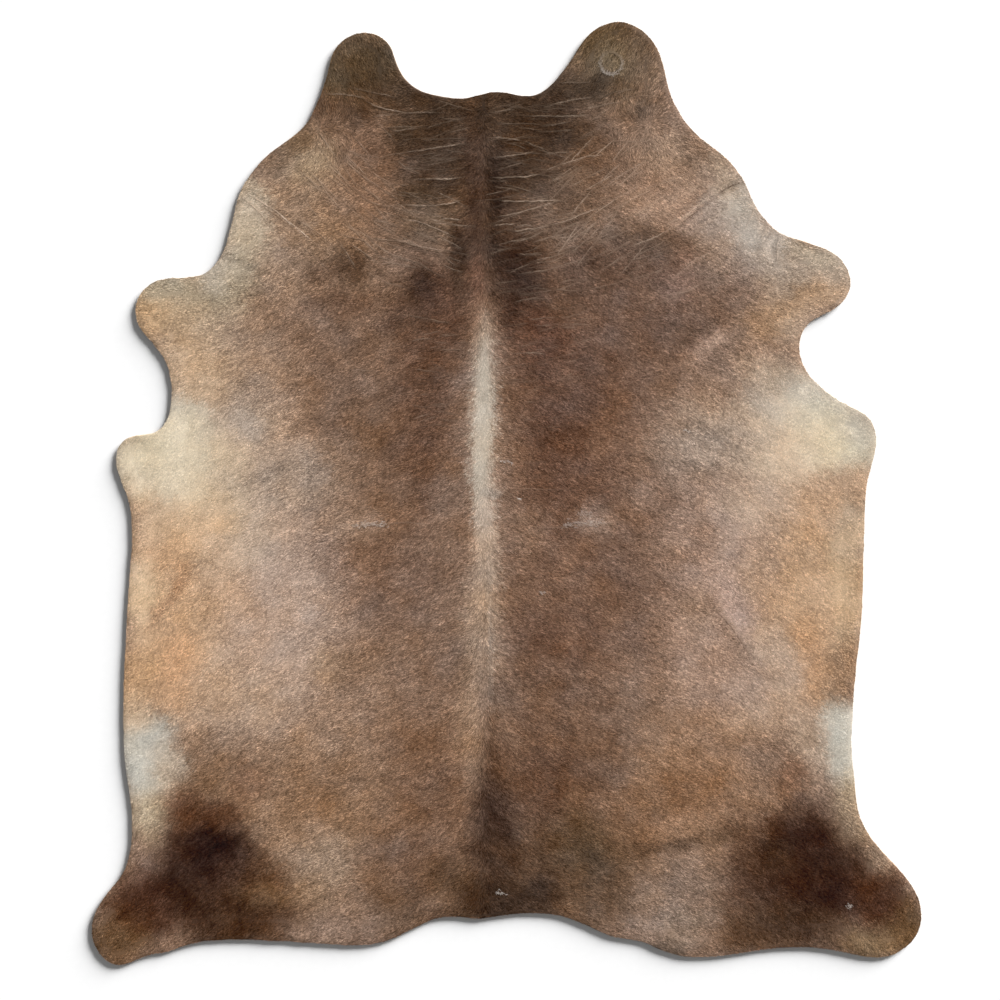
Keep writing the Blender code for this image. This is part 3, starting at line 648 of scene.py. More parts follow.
HAIR_WARMTH = 0.012  # how much warmer or colder a single hair can be
COLOUR_REACH = 0.6  # how far back along its growth a hair's colour can come from
SHARED_REACH = 1.1  # the same for a few hairs together
HAIR_LEAN = 0.03  # how unevenly the hairs lie, as a slope
HAIR_SHADES = (0.9, 0.9, 1.05)  # the two corners of the root, and the tip
ROUND = 0.05  # how round a hair looks across its width, as a slope
SLOPE_STEP = 0.25
SLOPE_SHARE = 0.24  # how much of a wrinkle's slope the coat's shading keeps
OVERHANG = 0.22  # how far a hair may reach past the cut
SHORTEST = 0.15  # the least of its length that a trimmed hair keeps
UNDERCOAT_PAINTED_SHADE = 0.85  # the undercoat's colour beside that of the hairs, darker as painted shade deep between them
STRAND_PLACES = 50  # how wide a part of the streaks' noise the hairs are spread over
HAIR_PIECES = (
    ("neck_hair", 48, FIELD_Y),
    ("shoulder_hair", 8, 48),
    ("belly_hair", -32, 8),
    ("loin_hair", -72, -32),
    ("rump_hair", -FIELD_Y, -72),
)

# Combed hairs: painted highlight along the crests of wrinkles, and painted shade in creases.
CREST_HIGHLIGHT_HAIR = (212, 188, 166)
CREASE_SHADE_HAIR = (66, 49, 38)
CREST_STEP = 0.26  # between hairs along a line
CREST_SPREAD = 0.07
CREST_SHARE = 0.37  # how far a hair's colour goes to that of the painted highlight hair
CREST_IN_COAT = 0.1  # the same for the coat's own hairs there
CREST_RAISED = 0.1  # how much higher the painted highlight hairs lie, in mm
CREASE_SPREAD = 0.1
CREASE_SHARE = 0.9
COMBED_LENGTH = 1.3
COMBED_WIDTH = 0.12  # of the strongest
COMBED_WIDTHS = (0.8, 1.2)  # how widths vary
COMBED_ROOTS = (0.15, 0.3)  # how high roots lie above the skin, in mm
COMBED_TIPS = (0.45, 0.65)
COMBED_STRAY = 0.06  # how far they turn from the line, in radians
COMBED_SHARES = (0.6, 1.4)  # how their shares of colour vary
COMBED_LEAST = 0.2  # how strongly they still show at a line's ends
COMBED_THIN = 0.6  # the width of the faintest beside that of the strongest
PATCHY_MEAN = 0.85  # how strongly they show on average along a line
PATCHY_WIDE = 0.4  # how much that changes over a few cm
PATCHY_FINE = 0.3  # and over less than one
SHADE_LOSS = 0.1  # how dark the painted shade on a small wrinkle's lower side is, as a power of e
CREASE_LOSS = 4.5  # how much darker the painted shade in a crease is than that on a small wrinkle's lower side

# White hairs of healed scars.
WHITE_HAIR = (205, 195, 186)
SCAR_LENGTH = 0.7
SCAR_WIDTH = 0.22
SCAR_ROOTS = (0.4, 0.7)
SCAR_TIPS = (0.8, 1.1)
SCAR_STRAY = 0.5  # how far they turn from the coat's growth, in radians
SCAR_SHARES = (0.5, 1.5)  # how their whiteness varies
RING_HAIRS = 260
RING_SPREAD = 0.16  # how far they scatter
RING_SHARE = 0.16  # how white they are
RING_LOSS = 0.8  # how much less white the ring's upper side is than its middle

FLOOR_SIZE = 30.0
FLOOR_GAP = 0.0003  # below the hide, in metres
KEY_STRENGTH = 11.9
KEY_HEIGHT = 14.0  # degrees above the floor
KEY_TURN = 45.0  # degrees from +x, towards the neck
KEY_WIDTH = 30.0  # degrees across
FILL_STRENGTH = 0.18
LENS = 85.0
SENSOR = 36.0
PICTURE_WIDTH = 243.9  # on the chart, at the height of the coat
PICTURE_MIDDLE = (-1.585, -1.585)
COAT_TOP = 0.005  # that height in metres


# ---- noise, lines and fields

LATTICE = 256  # values of the noise each way before it repeats
FAR = 50.0  # keeps the lattice's own origin off the hide


def between(grid, low, high, here, there, u, v):
    """The value between two rows and two columns of a grid."""
    below = grid[low, here] * (1 - u) + grid[low, there] * u
    above = grid[high, here] * (1 - u) + grid[high, there] * u
    return below * (1 - v) + above * v


def noise(x, y, cell, seed):
    """Smooth noise from -1 to 1 whose bumps are about one cell across."""
    rng = np.random.default_rng(seed)
    lattice = rng.uniform(-1, 1, (LATTICE, LATTICE))
    turn = rng.uniform(0, np.pi)
    u = (x * np.cos(turn) + y * np.sin(turn)) / cell + FAR
    v = (y * np.cos(turn) - x * np.sin(turn)) / cell + FAR
    i = np.floor(u).astype(int)
    j = np.floor(v).astype(int)
    u = u - i
    v = v - j
    u = u * u * (3 - 2 * u)
    v = v * v * (3 - 2 * v)
    here, there = i % LATTICE, (i + 1) % LATTICE
    low, high = j % LATTICE, (j + 1) % LATTICE
    return between(lattice, low, high, here, there, u, v)


def layered(x, y, layers, seed):
    """Noise of several sizes together, from (size, strength) pairs."""
    return sum(most * noise(x, y, cell, seed + turn) for turn, (cell, most) in enumerate(layers))


def brushed(x, y, angle, seed):
    """Noise drawn out along some directions into streaks."""
    parts = [
        noise(x + step * np.cos(angle), y + step * np.sin(angle), BRUSHED_WIDTH, seed)
        for step in BRUSHED_STEPS
    ]
    return sum(parts) / len(parts) ** 0.5


def bell(distance, half):
    """1 at no distance, 1/e at half a width, and soon 0 beyond it."""
    return np.exp(-((distance / half) ** 2))


def ramp(value, start, end):
    """0 below the start, 1 above the end, and a smooth rise between them."""
    share = np.clip((value - start) / (end - start), 0, 1)
    return share * share * (3 - 2 * share)


def fading(along, part):
    """1 over the middle of a line, falling to 0 over one in so many parts at each end."""
    return np.minimum(1, np.minimum(part * along, part * (1 - along)))


def arc_points(x0, y0, x1, y1, x2, y2, steps=6):
    """Points along the parabola through three points."""
    t = np.linspace(0, 1, steps + 1)
    start, middle, end = (1 - t) * (1 - 2 * t), 4 * t * (1 - t), t * (2 * t - 1)
    return np.stack([start * x0 + middle * x1 + end * x2, start * y0 + middle * y1 + end * y2], 1)


def from_line(x, y, points):
    """Distance from a line of points, positive on its left, and how far along it that is."""
    nearest = np.full(x.shape, np.inf)
    distance = np.zeros(x.shape)
    along = np.zeros(x.shape)
    for step, ((ax, ay), (bx, by)) in enumerate(zip(points, points[1:])):
        dx, dy = bx - ax, by - ay
        share = np.clip(((x - ax) * dx + (y - ay) * dy) / (dx * dx + dy * dy), 0, 1)
        gx, gy = x - ax - share * dx, y - ay - share * dy
        gap = np.hypot(gx, gy)
        closer = gap < nearest
        nearest = np.where(closer, gap, nearest)
        distance = np.where(closer, np.where(dx * gy - dy * gx >= 0, gap, -gap), distance)
        along = np.where(closer, (step + share) / (len(points) - 1), along)
    return distance, along


class Field:
    """A value known on a grid over the chart and read in between."""

    def __init__(self, step):
        self.step = step
        self.across = np.arange(-FIELD_X, FIELD_X + step, step)
        self.down = np.arange(-FIELD_Y, FIELD_Y + step, step)
        self.x, self.y = np.meshgrid(self.across, self.down)
        self.value = np.zeros(self.x.shape)

    def window(self, points, reach):
        """The part of the grid within reach of some points."""
        low = np.min(points, axis=0) - reach
        high = np.max(points, axis=0) + reach
        columns = slice(*np.searchsorted(self.across, (low[0], high[0])))
        rows = slice(*np.searchsorted(self.down, (low[1], high[1])))
        return rows, columns

    def near(self, points, reach):
        """The part of the grid within reach of a line of points, with its places' distances
        from the line and how far along it they are."""
        part = self.window(points, reach)
        return part, *from_line(self.x[part], self.y[part], points)

    def read(self, x, y):
        """The value at places of the chart."""
        u = np.clip((x + FIELD_X) / self.step, 0, self.value.shape[1] - 1.001)
        v = np.clip((y + FIELD_Y) / self.step, 0, self.value.shape[0] - 1.001)
        i = u.astype(int)
        j = v.astype(int)
        return between(self.value, j, j + 1, i, i + 1, u - i, v - j)


# ---- the cut outline


def solid_outline():
    """The outline of the frame's solid, as chart points in order, anticlockwise."""
    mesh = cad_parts["hide"].data
    onward = {}
    for face in mesh.polygons:
        if face.normal.z < UPRIGHT:
            continue
        places = [tuple(round(c / UNIT, 3) for c in mesh.vertices[k].co.xy) for k in face.vertices]
        for place, after in zip(places, places[1:] + places[:1]):
            if onward.get(after) and place in onward[after]:
                onward[after].remove(place)
            else:
                onward.setdefault(place, []).append(after)
    loop = [min(place for place in onward if onward[place])]
    while len(loop) == 1 or loop[-1] != loop[0]:
        loop.append(onward[loop[-1]][0])
    return np.array(loop[:-1])


def resample(loop, spacing):
    """Points at an even spacing round a closed loop."""
    closed = np.vstack([loop, loop[:1]])
    reach = np.concatenate([[0], np.cumsum(np.hypot(*np.diff(closed, axis=0).T))])
    places = np.linspace(0, reach[-1], round(reach[-1] / spacing), endpoint=False)
    return np.stack([np.interp(places, reach, closed[:, axis]) for axis in (0, 1)], 1)


def soften(loop):
    """The loop with its corners rounded over about two points on each side."""
    weights = {0: 0.4, 1: 0.24, 2: 0.06}
    return sum(
        weight * (loop if not step else np.roll(loop, step, axis=0) + np.roll(loop, -step, axis=0))
        for step, weight in weights.items()
    )


def outward(loop):
    """The direction out of an anticlockwise loop at each of its points."""
    along = np.roll(loop, -1, axis=0) - np.roll(loop, 1, axis=0)
    along /= np.hypot(*along.T)[:, None]
    return np.stack([along[:, 1], -along[:, 0]], 1)


def cut_outline():
    """The hide's own cut edge: smooth, and a little uneven from the knife."""
    loop = soften(resample(solid_outline(), OUTLINE_STEP))
    return loop + outward(loop) * layered(*loop.T, CUT_WAVES, SEED)[:, None]


def distance_field(loop):
    """How far in from the cut each place is, negative outside."""
    field = Field(EDGE_STEP)
    fine = resample(loop, OUTLINE_STEP / 5)
    tree = KDTree(len(fine))
    for number, (x, y) in enumerate(fine):
        tree.insert((x, y, 0.0), number)
    tree.balance()
    places = zip(field.x.ravel().tolist(), field.y.ravel().tolist())
    gaps = [tree.find((x, y, 0.0))[2] for x, y in places]
    field.value = np.where(inside(field, loop), 1, -1) * np.reshape(gaps, field.x.shape)
    return field


def inside(field, loop):
    """Which places of a field's grid lie inside a closed loop."""
    odd = np.zeros(field.x.shape, bool)
    for (ax, ay), (bx, by) in zip(loop, np.roll(loop, -1, axis=0)):
        first, last = sorted((ay, by))
        for row in range(*np.searchsorted(field.down, (first, last))):
            crossing = ax + (bx - ax) * (field.down[row] - ay) / (by - ay)
            odd[row] ^= field.across < crossing
    return odd


# ---- heights and lines


def curl_field(edge):
    """How far the underside is off the floor, in mm."""
    field = Field(FIELD_STEP)
    for _, x, y, reach, most in CURLS:
        part = field.window([(x, y)], reach)
        share = np.hypot(field.x[part] - x, field.y[part] - y) / reach
        field.value[part] += np.where(share < 1, most * np.cos(share * np.pi / 2) ** 2, 0)
    lift = EDGE_LIFT * (1 - ramp(edge.read(field.x, field.y), 0, EDGE_REACH))
    field.value = np.maximum(field.value, lift)
    return field


def relief_field(lines):
    """How far the hair side stands above or below its even thickness, in mm."""
    field = Field(FIELD_STEP)
    for *arc, most in WRINKLES:
        part, distance, along = field.near(arc_points(*arc), 3 * WRINKLE_HALF)
        field.value[part] += most * fading(along, LINE_FADE) * bell(distance, WRINKLE_HALF)
    for *arc, depth, half, side in CREASES:
        part, distance, along = field.near(arc_points(*arc), (2 + LIP_PLACE) * half)
        lip = bell(side * distance - LIP_PLACE * half, half)
        fade = np.minimum(1, CREASE_FADE * (1 - along))
        field.value[part] += depth * fade * (LIP_SHARE * lip - bell(distance, half))
    fade = np.clip((field.y - SPINE_END) / (SPINE_TOP - SPINE_END), 0, 1)
    field.value -= SPINE_DEPTH * fade * bell(field.x - SPINE_X, SPINE_HALF)
    for points, strength in lines:
        part, distance, along = field.near(points, 4 * STREAK_HALF)
        fade = strength * fading(along, LINE_FADE)
        field.value[part] += STREAK_HEIGHT * fade * bell(distance, STREAK_HALF)
    return field


def light_and_shade_fields(lines, creases):
    """The painted light and shade: how light the painted highlight on each small wrinkle's crest is,
    how dark the painted shade on its lower side and in creases, and how much lighter or darker the
    broad fold bands are painted."""
    painted_highlight, painted_shade, fold_shading = (Field(FIELD_STEP) for _ in range(3))
    for points, strength in lines:
        part, distance, along = painted_highlight.near(points, SHADE_PLACE + 3 * SHADE_HALF)
        lower = -distance if points[-1][0] > points[0][0] else distance
        fade = strength * fading(along, MARK_FADE)
        # painted highlight on the crest, painted shade on the lower side
        crest_highlight = fade * bell(distance, STREAK_HALF)
        shade = fade * bell(lower - SHADE_PLACE, SHADE_HALF)
        painted_highlight.value[part] = np.maximum(painted_highlight.value[part], crest_highlight)
        painted_shade.value[part] = np.maximum(painted_shade.value[part], shade)
    for points, strength in creases:
        part, distance, _ = painted_shade.near(points, 3 * CREASE_HALF)
        shade = strength * CREASE_LOSS * bell(distance, CREASE_HALF)
        painted_shade.value[part] = np.maximum(painted_shade.value[part], shade)
    for *arc, half, most in PAINTED_FOLD_BANDS:
        part, distance, along = fold_shading.near(arc_points(*arc), 3 * half)
        x, y = fold_shading.x[part], fold_shading.y[part]
        sway = BAND_SWAY * half * noise(x, y, 5, SEED + 8)
        uneven = 1 + BAND_UNEVEN * noise(x, y, 4, SEED + 9)
        fade = uneven * fading(along, LINE_FADE)
        # the fold bands' painted light and shade
        fold_shading.value[part] += most * fade * bell(distance + sway, half)
    return painted_highlight, painted_shade, fold_shading


def wavering(points):
    """A line of points with the small waves that skin gives it."""
    x, y = points.T
    return np.stack([x, y + layered(x, y, STREAK_WAVES, SEED + 11)], 1)


def wrinkle_lines(rng):
    """The lines of painted highlight in the coat: those charted, and the faint ones beside them."""
    lines = [(wavering(arc_points(*arc, STREAK_STEPS)), strength) for *arc, strength in STREAKS]
    for left, right, low, high, count, length, turn, strength in FINE_WRINKLES:
        for _ in range(count):
            x, y = rng.uniform(left, right), rng.uniform(low, high)
            reach = length * rng.uniform(*FINE_LENGTHS) / 2
            tilt = math.radians(rng.normal(turn, FINE_TURN))
            across, up = reach * math.cos(tilt), reach * math.sin(tilt)
            bow = rng.normal(0, FINE_BOW)
            arc = (x - across, y - up, x, y + bow, x + across, y + up)
            lines.append((arc_points(*arc), strength * rng.uniform(*FINE_STRENGTHS)))
    return lines


def standing(x, y, relief, edge):
    """How far the hair side stands above its even thickness, in mm."""
    room = np.clip(CREASE_AT_CUT + edge.read(x, y) / CREASE_ROOM, CREASE_AT_CUT, 1)
    return room * relief.read(x, y)


def skin_top(x, y, curl, relief, edge):
    """How high the skin's hair side is above the floor, in mm."""
    soft = UNDERCOAT * np.clip(edge.read(x, y) / SKIN_RINGS[-1], 0, 1)
    thick = LEATHER + soft + standing(x, y, relief, edge)
    return curl.read(x, y) + np.maximum(thick, THINNEST)


# ---- colour and growth


def coat_colour(x, y):
    """The coat's colour at places of the chart, as a display value from 0 to 1."""
    wx = x + (1 - SPINE_HOLD * bell(x - SPINE_X, SPINE_HOLD_HALF)) * layered(x, y, WARP, ACROSS_SEED)
    wy = y + layered(x, y, WARP, ALONG_SEED)
    colour = np.broadcast_to(np.array(GROUND, float), (*x.shape, 3)).copy()
    for _, px, py, rx, ry, strength, shade, *shape in PATCHES:
        turn, edge = shape or USUAL_SHAPE
        angle = np.radians(turn)
        ux = ((wx - px) * np.cos(angle) + (wy - py) * np.sin(angle)) / rx
        uy = ((wy - py) * np.cos(angle) - (wx - px) * np.sin(angle)) / ry
        cover = strength * np.exp(-HALF_VALUE * np.hypot(ux, uy) ** edge)
        colour += (np.array(shade, float) - colour) * cover[..., None]
    cloud = layered(x, y, CLOUDS, CLOUD_SEED)
    warm = layered(x, y, WARMTHS, WARM_SEED)
    colour += np.stack([cloud + warm, cloud, cloud - warm], -1)
    return np.clip(colour, 0, 255) / 255


def linear(colour):
    """Display values from 0 to 1 as light."""
    colour = np.asarray(colour, float)
    return np.where(colour <= 0.04045, colour / 12.92, ((colour + 0.055) / 1.055) ** 2.4)


def coat_light(x, y, fold_shading):
    """The coat's colour at places of the chart, as light, with the fold bands' painted light and
    shade.
    """
    return linear(coat_colour(x, y)) * COAT_GAIN * (1 + fold_shading.read(x, y))[:, None]


def less_gloss(colour):
    """The hair's own colour, below that of the coat under its gloss."""
    return np.maximum(colour - GLOSS, colour / 10)


def growth(x, y):
    """The angle at which hair grows at places of the chart, in radians from +x."""
    gap = x - SPINE_X
    far = np.abs(gap)
    lean = LEAN * (1 - np.exp(-far / LEAN_START)) - BELLY_LEAN * ramp(far, *BELLY_SIDE)
    low, high = STRIPE
    striped = ramp(y, low - FAN_TAIL, low) * (1 - ramp(y, high - FAN_TOP, high + FAN_TOP))
    lean = lean + FAN * striped * bell(far - FAN_PLACE, FAN_HALF)
    across, along = np.sign(gap) * lean, -np.ones(x.shape)
    size = np.hypot(across, along)
    across, along = across / size, along / size
    for _, px, py, reach, angle, pull in GROWTH:
        share = pull * bell(np.hypot(x - px, y - py), reach)
        across = across + share * math.cos(math.radians(angle))
        along = along + share * math.sin(math.radians(angle))
    for px, py, reach, pull in CROWNS:
        away = np.maximum(np.hypot(x - px, y - py), 0.5)
        share = pull * bell(away, reach)
        across = across + share * (x - px) / away
        along = along + share * (y - py) / away
    return np.arctan2(along, across)


# ---- meshes


def mesh_object(name, points, triangles, quads=()):
    """A mesh object from points in metres and its faces, quads after triangles."""
    mesh = bpy.data.meshes.new(name)
    corners = np.concatenate([np.ravel(triangles), np.ravel(quads)]).astype(np.int32)
    sides = np.concatenate([np.full(len(triangles), 3), np.full(len(quads), 4)])
    starts = np.concatenate([[0], np.cumsum(sides)[:-1]]).astype(np.int32)
    mesh.vertices.add(len(points))
    mesh.vertices.foreach_set("co", np.ravel(points).astype(np.float32))
    mesh.loops.add(len(corners))
    mesh.loops.foreach_set("vertex_index", corners)
    mesh.polygons.add(len(sides))
    mesh.polygons.foreach_set("loop_start", starts)
    mesh.update(calc_edges=True)
    mesh.shade_smooth()
    thing = bpy.data.objects.new(name, mesh)
    bpy.context.scene.collection.objects.link(thing)
    return thing


def add_colour(thing, colour):
    """Give a mesh object's points their colours."""
    layer = thing.data.color_attributes.new("coat_colour", "FLOAT_COLOR", "POINT")
    values = np.concatenate([colour, np.ones((len(colour), 1))], 1)
    layer.data.foreach_set("color", values.ravel().astype(np.float32))


def add_uv(thing, name, corner_uv):
    """Give a mesh object's corners their places on a sheet."""
    layer = thing.data.uv_layers.new(name=name)
    layer.data.foreach_set("uv", corner_uv.ravel().astype(np.float32))


def in_metres(x, y, height):
    """Chart places and heights in mm as points in metres."""
    return np.stack([x * UNIT, y * UNIT, height * MM], 1)


# ---- the skin


def cells(region, cell, rng):
    """Uneven points over a rectangle, about one cell apart."""
    left, right, low, high = region
    x, y = np.meshgrid(np.arange(left, right, cell), np.arange(low, high, cell))
    shift = rng.uniform(-CELL_SHIFT, CELL_SHIFT, (2, *x.shape)) * cell
    return np.stack([(x + shift[0]).ravel(), (y + shift[1]).ravel()], 1)


def fill(loops, extra):
    """Triangles over the inside of the first of some loops, through all their points."""
    points = np.vstack([*loops, extra])
    sides = []
    first = 0
    for loop in loops:
        count = len(loop)
        sides += [(first + k, first + (k + 1) % count) for k in range(count)]
        first += count
    corners = [Vector(point) for point in points]
    made = delaunay_2d_cdt(corners, sides, [], 1, 1e-7)
    return np.array([tuple(point) for point in made[0]]), np.array(made[2])


def hair_side(outline, out, edge, rng):
    """Points and triangles of the skin's hair side, closest together on the neck."""
    rings = [outline - out * inset for inset in SKIN_RINGS]
    body = cells(WHOLE, SKIN_CELL, rng)
    left, right, low, high = NECK
    on_neck = (body[:, 0] > left) & (body[:, 0] < right) & (body[:, 1] > low) & (body[:, 1] < high)
    extra = np.vstack([body[~on_neck], cells(NECK, NECK_CELL, rng)])
    return fill([outline, *rings], extra[edge.read(*extra.T) > SKIN_CLEAR])


def flesh_side(outline, edge, rng):
    """Points and triangles of the skin's underside."""
    coarse = cells(WHOLE, UNDERSIDE_CELL, rng)
    return fill([outline], coarse[edge.read(*coarse.T) > UNDERSIDE_CELL / 2])


def rim_faces(count, rim_start, under_start):
    """Quads of the cut rim: from the hair side out to its bulge, and on to the underside."""
    here = np.arange(count)
    onward = (here + 1) % count
    upper = [here, rim_start + here, rim_start + onward, onward]
    lower = [rim_start + here, under_start + here, under_start + onward, rim_start + onward]
    return np.vstack([np.stack(upper, 1), np.stack(lower, 1)])


def make_skin(outline, fields, fold_shading, rng):
    """The leather as one closed sheet: hair side, cut rim and underside."""
    curl, _, edge = fields
    out = outward(outline)
    count = len(outline)
    top, top_faces = hair_side(outline, out, edge, rng)
    under, under_faces = flesh_side(outline, edge, rng)
    height = skin_top(*top.T, *fields)
    under_height = curl.read(*under.T)
    bulge = RIM_BULGE + RIM_UNEVEN * noise(*outline.T, 0.9, SEED + 7)
    rim = outline + out * bulge[:, None]
    rim_height = (height[:count] + under_height[:count]) / 2
    sides = ((top, height), (rim, rim_height), (under, under_height))
    points = np.vstack([in_metres(*place.T, above) for place, above in sides])

    under_start = len(top) + count
    triangles = np.vstack([top_faces, under_faces[:, ::-1] + under_start])
    skin = mesh_object("hide_skin", points, triangles, rim_faces(count, len(top), under_start))
    part = np.repeat([0, 2, 1], [len(top_faces), len(under_faces), 2 * count])
    for material in (coat_base(), cut_leather(), suede()):
        skin.data.materials.append(material)
    skin.data.polygons.foreach_set("material_index", part.astype(np.int32))
    x, y = points[:, 0] / UNIT, points[:, 1] / UNIT
    # the undercoat's colour, darkened as painted shade deep between the hairs
    add_colour(skin, less_gloss(coat_light(x, y, fold_shading)) * UNDERCOAT_PAINTED_SHADE)
    add_uv(skin, "OFBake", skin_layout(skin.data, points, part, count))
    return skin


def skin_layout(mesh, points, part, count):
    """Where each corner of the skin's faces lies on one square sheet: hair side on the left,
    underside lower right, and the rim in rows along the top."""
    corners = np.empty(len(mesh.loops), np.int32)
    mesh.loops.foreach_get("vertex_index", corners)
    faces = np.repeat(part, np.repeat([3, 3, 4], [np.sum(part == 0), np.sum(part == 2), 2 * count]))
    place = points[corners]
    flat = place[:, :2] - points[:, :2].min(0)
    top, under = flat * TOP_SCALE + TOP_PLACE, flat * UNDER_SCALE + UNDER_PLACE
    uv = np.where((faces == 0)[:, None], top, under)
    around = np.arange(count) * OUTLINE_STEP * UNIT
    row = (around // RIM_ROW).astype(int)
    rim = np.arange(len(corners) - 2 * count * 4, len(corners)).reshape(2, count, 4)
    for band in rim:
        for corner, here in enumerate(band.T):
            reach = around % RIM_ROW + (corner >= 2) * OUTLINE_STEP * UNIT
            uv[here, 0] = RIM_PLACE[0] + reach * RIM_SCALE
            uv[here, 1] = RIM_PLACE[1] + row * RIM_PITCH + place[here, 2]
    return uv


# ---- the coat


class Hairs:
    """Short flat hairs, each a long triangle from its root to its tip."""

    def __init__(self, x, y, angle, length, width, root, tip, colour):
        self.x, self.y, self.angle = x, y, angle
        self.length, self.width = length, width
        self.root, self.tip = root, tip  # how high its ends lie above the skin, in mm
        self.colour = colour

    def joined(self, other):
        pairs = zip(self.__dict__.values(), other.__dict__.values())
        return Hairs(*(np.concatenate(pair) for pair in pairs))

    def chosen(self, which):
        return Hairs(*(value[which] for value in self.__dict__.values()))


def lightened(colour, hair, share):
    """Colours moved part of the way to another hair's."""
    return colour + (linear(np.array(hair) / 255) * COAT_GAIN - colour) * share[:, None]


def coat_hairs(edge, light_and_shade, rng):
    """Hairs all over the hide, at uneven places an even distance apart."""
    painted_highlight, painted_shade, fold_shading = light_and_shade
    places = cells(WHOLE, HAIR_PITCH, rng)
    places = places[edge.read(*places.T) > HAIR_FROM_CUT]
    x, y = places.T
    count = len(x)
    clump = layered(x, y, CLUMPS, SEED + 1)
    angle = growth(x, y) + clump + rng.normal(0, HAIR_STRAY, count)
    shorter = 1 - BELLY_SHORTER * ramp(np.abs(x), *BELLY_EDGE)
    length = HAIR_LENGTH * shorter * rng.uniform(*HAIR_SIZES, count)
    width = HAIR_WIDTH * rng.uniform(*HAIR_SIZES, count)
    root = rng.uniform(*HAIR_ROOTS, count)
    tip = rng.uniform(*HAIR_TIPS, count) + TIP_WAVES * noise(x, y, 1.6, SEED + 3)
    back = SHARED_REACH * noise(x, y, 0.8, SEED + 15) + rng.normal(0, COLOUR_REACH, count)
    colour = coat_light(x - back * np.cos(angle), y - back * np.sin(angle), fold_shading)
    pale = ramp(colour.mean(1) / COAT_GAIN, linear(PALE[0]), linear(PALE[1]))
    uneven = HAIR_TINT + (PALE_TINT - HAIR_TINT) * pale
    shared = BRUSHED_TINT * brushed(x, y, growth(x, y), SEED + 16)
    shared += PATCHY_TINT * noise(x, y, 0.7, SEED + 4)
    # painted shade: hairs on the lower sides of small wrinkles and in creases are darkened
    tint = np.exp(uneven * (rng.uniform(-1, 1, count) + shared) - SHADE_LOSS * painted_shade.read(x, y))
    tint /= 1 + uneven**2 / 6  # so that the coat stays as light as charted
    warmth = rng.normal(0, HAIR_WARMTH, count)
    # painted highlight: hairs on the crests of small wrinkles are lightened
    colour = lightened(colour, CREST_HIGHLIGHT_HAIR, CREST_IN_COAT * painted_highlight.read(x, y))
    colour *= tint[:, None] * np.stack([1 + warmth, np.ones(count), 1 - warmth], 1)
    return Hairs(x, y, angle, length, width, root, tip, less_gloss(colour))


def combed_places(points, spread, rng):
    """Places scattered along a line, its angle at each, and how far each is from the nearer
    end, as a share of the line."""
    reach = np.hypot(*np.diff(points, axis=0).T).sum()
    count = max(2, round(reach / CREST_STEP))
    share = (np.arange(count) + rng.uniform(0.1, 0.9, count)) / count * (len(points) - 1)
    number = np.minimum(share.astype(int), len(points) - 2)
    run = points[number + 1] - points[number]
    place = points[number] + run * (share - number)[:, None]
    run /= np.hypot(*run.T)[:, None]
    side = np.stack([-run[:, 1], run[:, 0]], 1)
    place = place + side * rng.normal(0, spread, count)[:, None]
    ends = np.minimum(share, len(points) - 1 - share) / (len(points) - 1)
    return place, np.arctan2(run[:, 1], run[:, 0]), ends


def combed_hairs(lines, fold_shading, look, rng):
    """Hairs combed along some lines: painted highlight on the crests of wrinkles, painted shade in
    creases.
    """
    hair, most, spread, above = look
    made = []
    for points, strength in lines:
        place, angle, ends = combed_places(points, spread, rng)
        made.append((place, angle, strength * np.clip(MARK_FADE * ends, COMBED_LEAST, 1)))
    place, angle, strength = map(np.concatenate, zip(*made))
    x, y = place.T
    count = len(x)
    against = np.cos(angle - growth(x, y)) < 0
    angle = angle + np.pi * against + rng.normal(0, COMBED_STRAY, count)
    patchy = PATCHY_MEAN + PATCHY_WIDE * noise(x, y, 3, SEED + 6)
    patchy += PATCHY_FINE * noise(x, y, 0.8, SEED + 10)
    share = np.clip(most * strength * patchy * rng.uniform(*COMBED_SHARES, count), 0, 1)
    thin = COMBED_THIN + (1 - COMBED_THIN) * strength
    return Hairs(
        x,
        y,
        angle,
        COMBED_LENGTH * rng.uniform(*HAIR_SIZES, count),
        COMBED_WIDTH * thin * rng.uniform(*COMBED_WIDTHS, count),
        above + rng.uniform(*COMBED_ROOTS, count),
        above + rng.uniform(*COMBED_TIPS, count),
        less_gloss(lightened(coat_light(x, y, fold_shading), hair, share)),
    )


def scar_hairs(fold_shading, rng):
    """White hairs scattered where old scratches healed, and the pale ring of a round scar."""
    made = []
    for *arc, spread, count, share in SCRATCHES:
        points = arc_points(*arc)
        along = rng.uniform(0, len(points) - 1, count)
        number = along.astype(int)
        place = points[number] + (points[number + 1] - points[number]) * (along - number)[:, None]
        made.append((place + rng.normal(0, spread, (count, 2)), np.full(count, share)))
    x, y, radius = SCAR_RING
    turn = rng.uniform(0, 2 * np.pi, RING_HAIRS)
    wide = radius + rng.normal(0, RING_SPREAD, RING_HAIRS)
    ring = np.stack([x + wide * np.cos(turn), y + wide * np.sin(turn)], 1)
    made.append((ring, RING_SHARE * (1 - RING_LOSS * np.sin(turn))))
    place, share = map(np.concatenate, zip(*made))
    x, y = place.T
    count = len(x)
    return Hairs(
        x,
        y,
        growth(x, y) + rng.normal(0, SCAR_STRAY, count),
        SCAR_LENGTH * rng.uniform(*HAIR_SIZES, count),
        SCAR_WIDTH * rng.uniform(*HAIR_SIZES, count),
        rng.uniform(*SCAR_ROOTS, count),
        rng.uniform(*SCAR_TIPS, count),
        less_gloss(
            lightened(coat_light(x, y, fold_shading), WHITE_HAIR, share * rng.uniform(*SCAR_SHARES, count))
        ),
    )


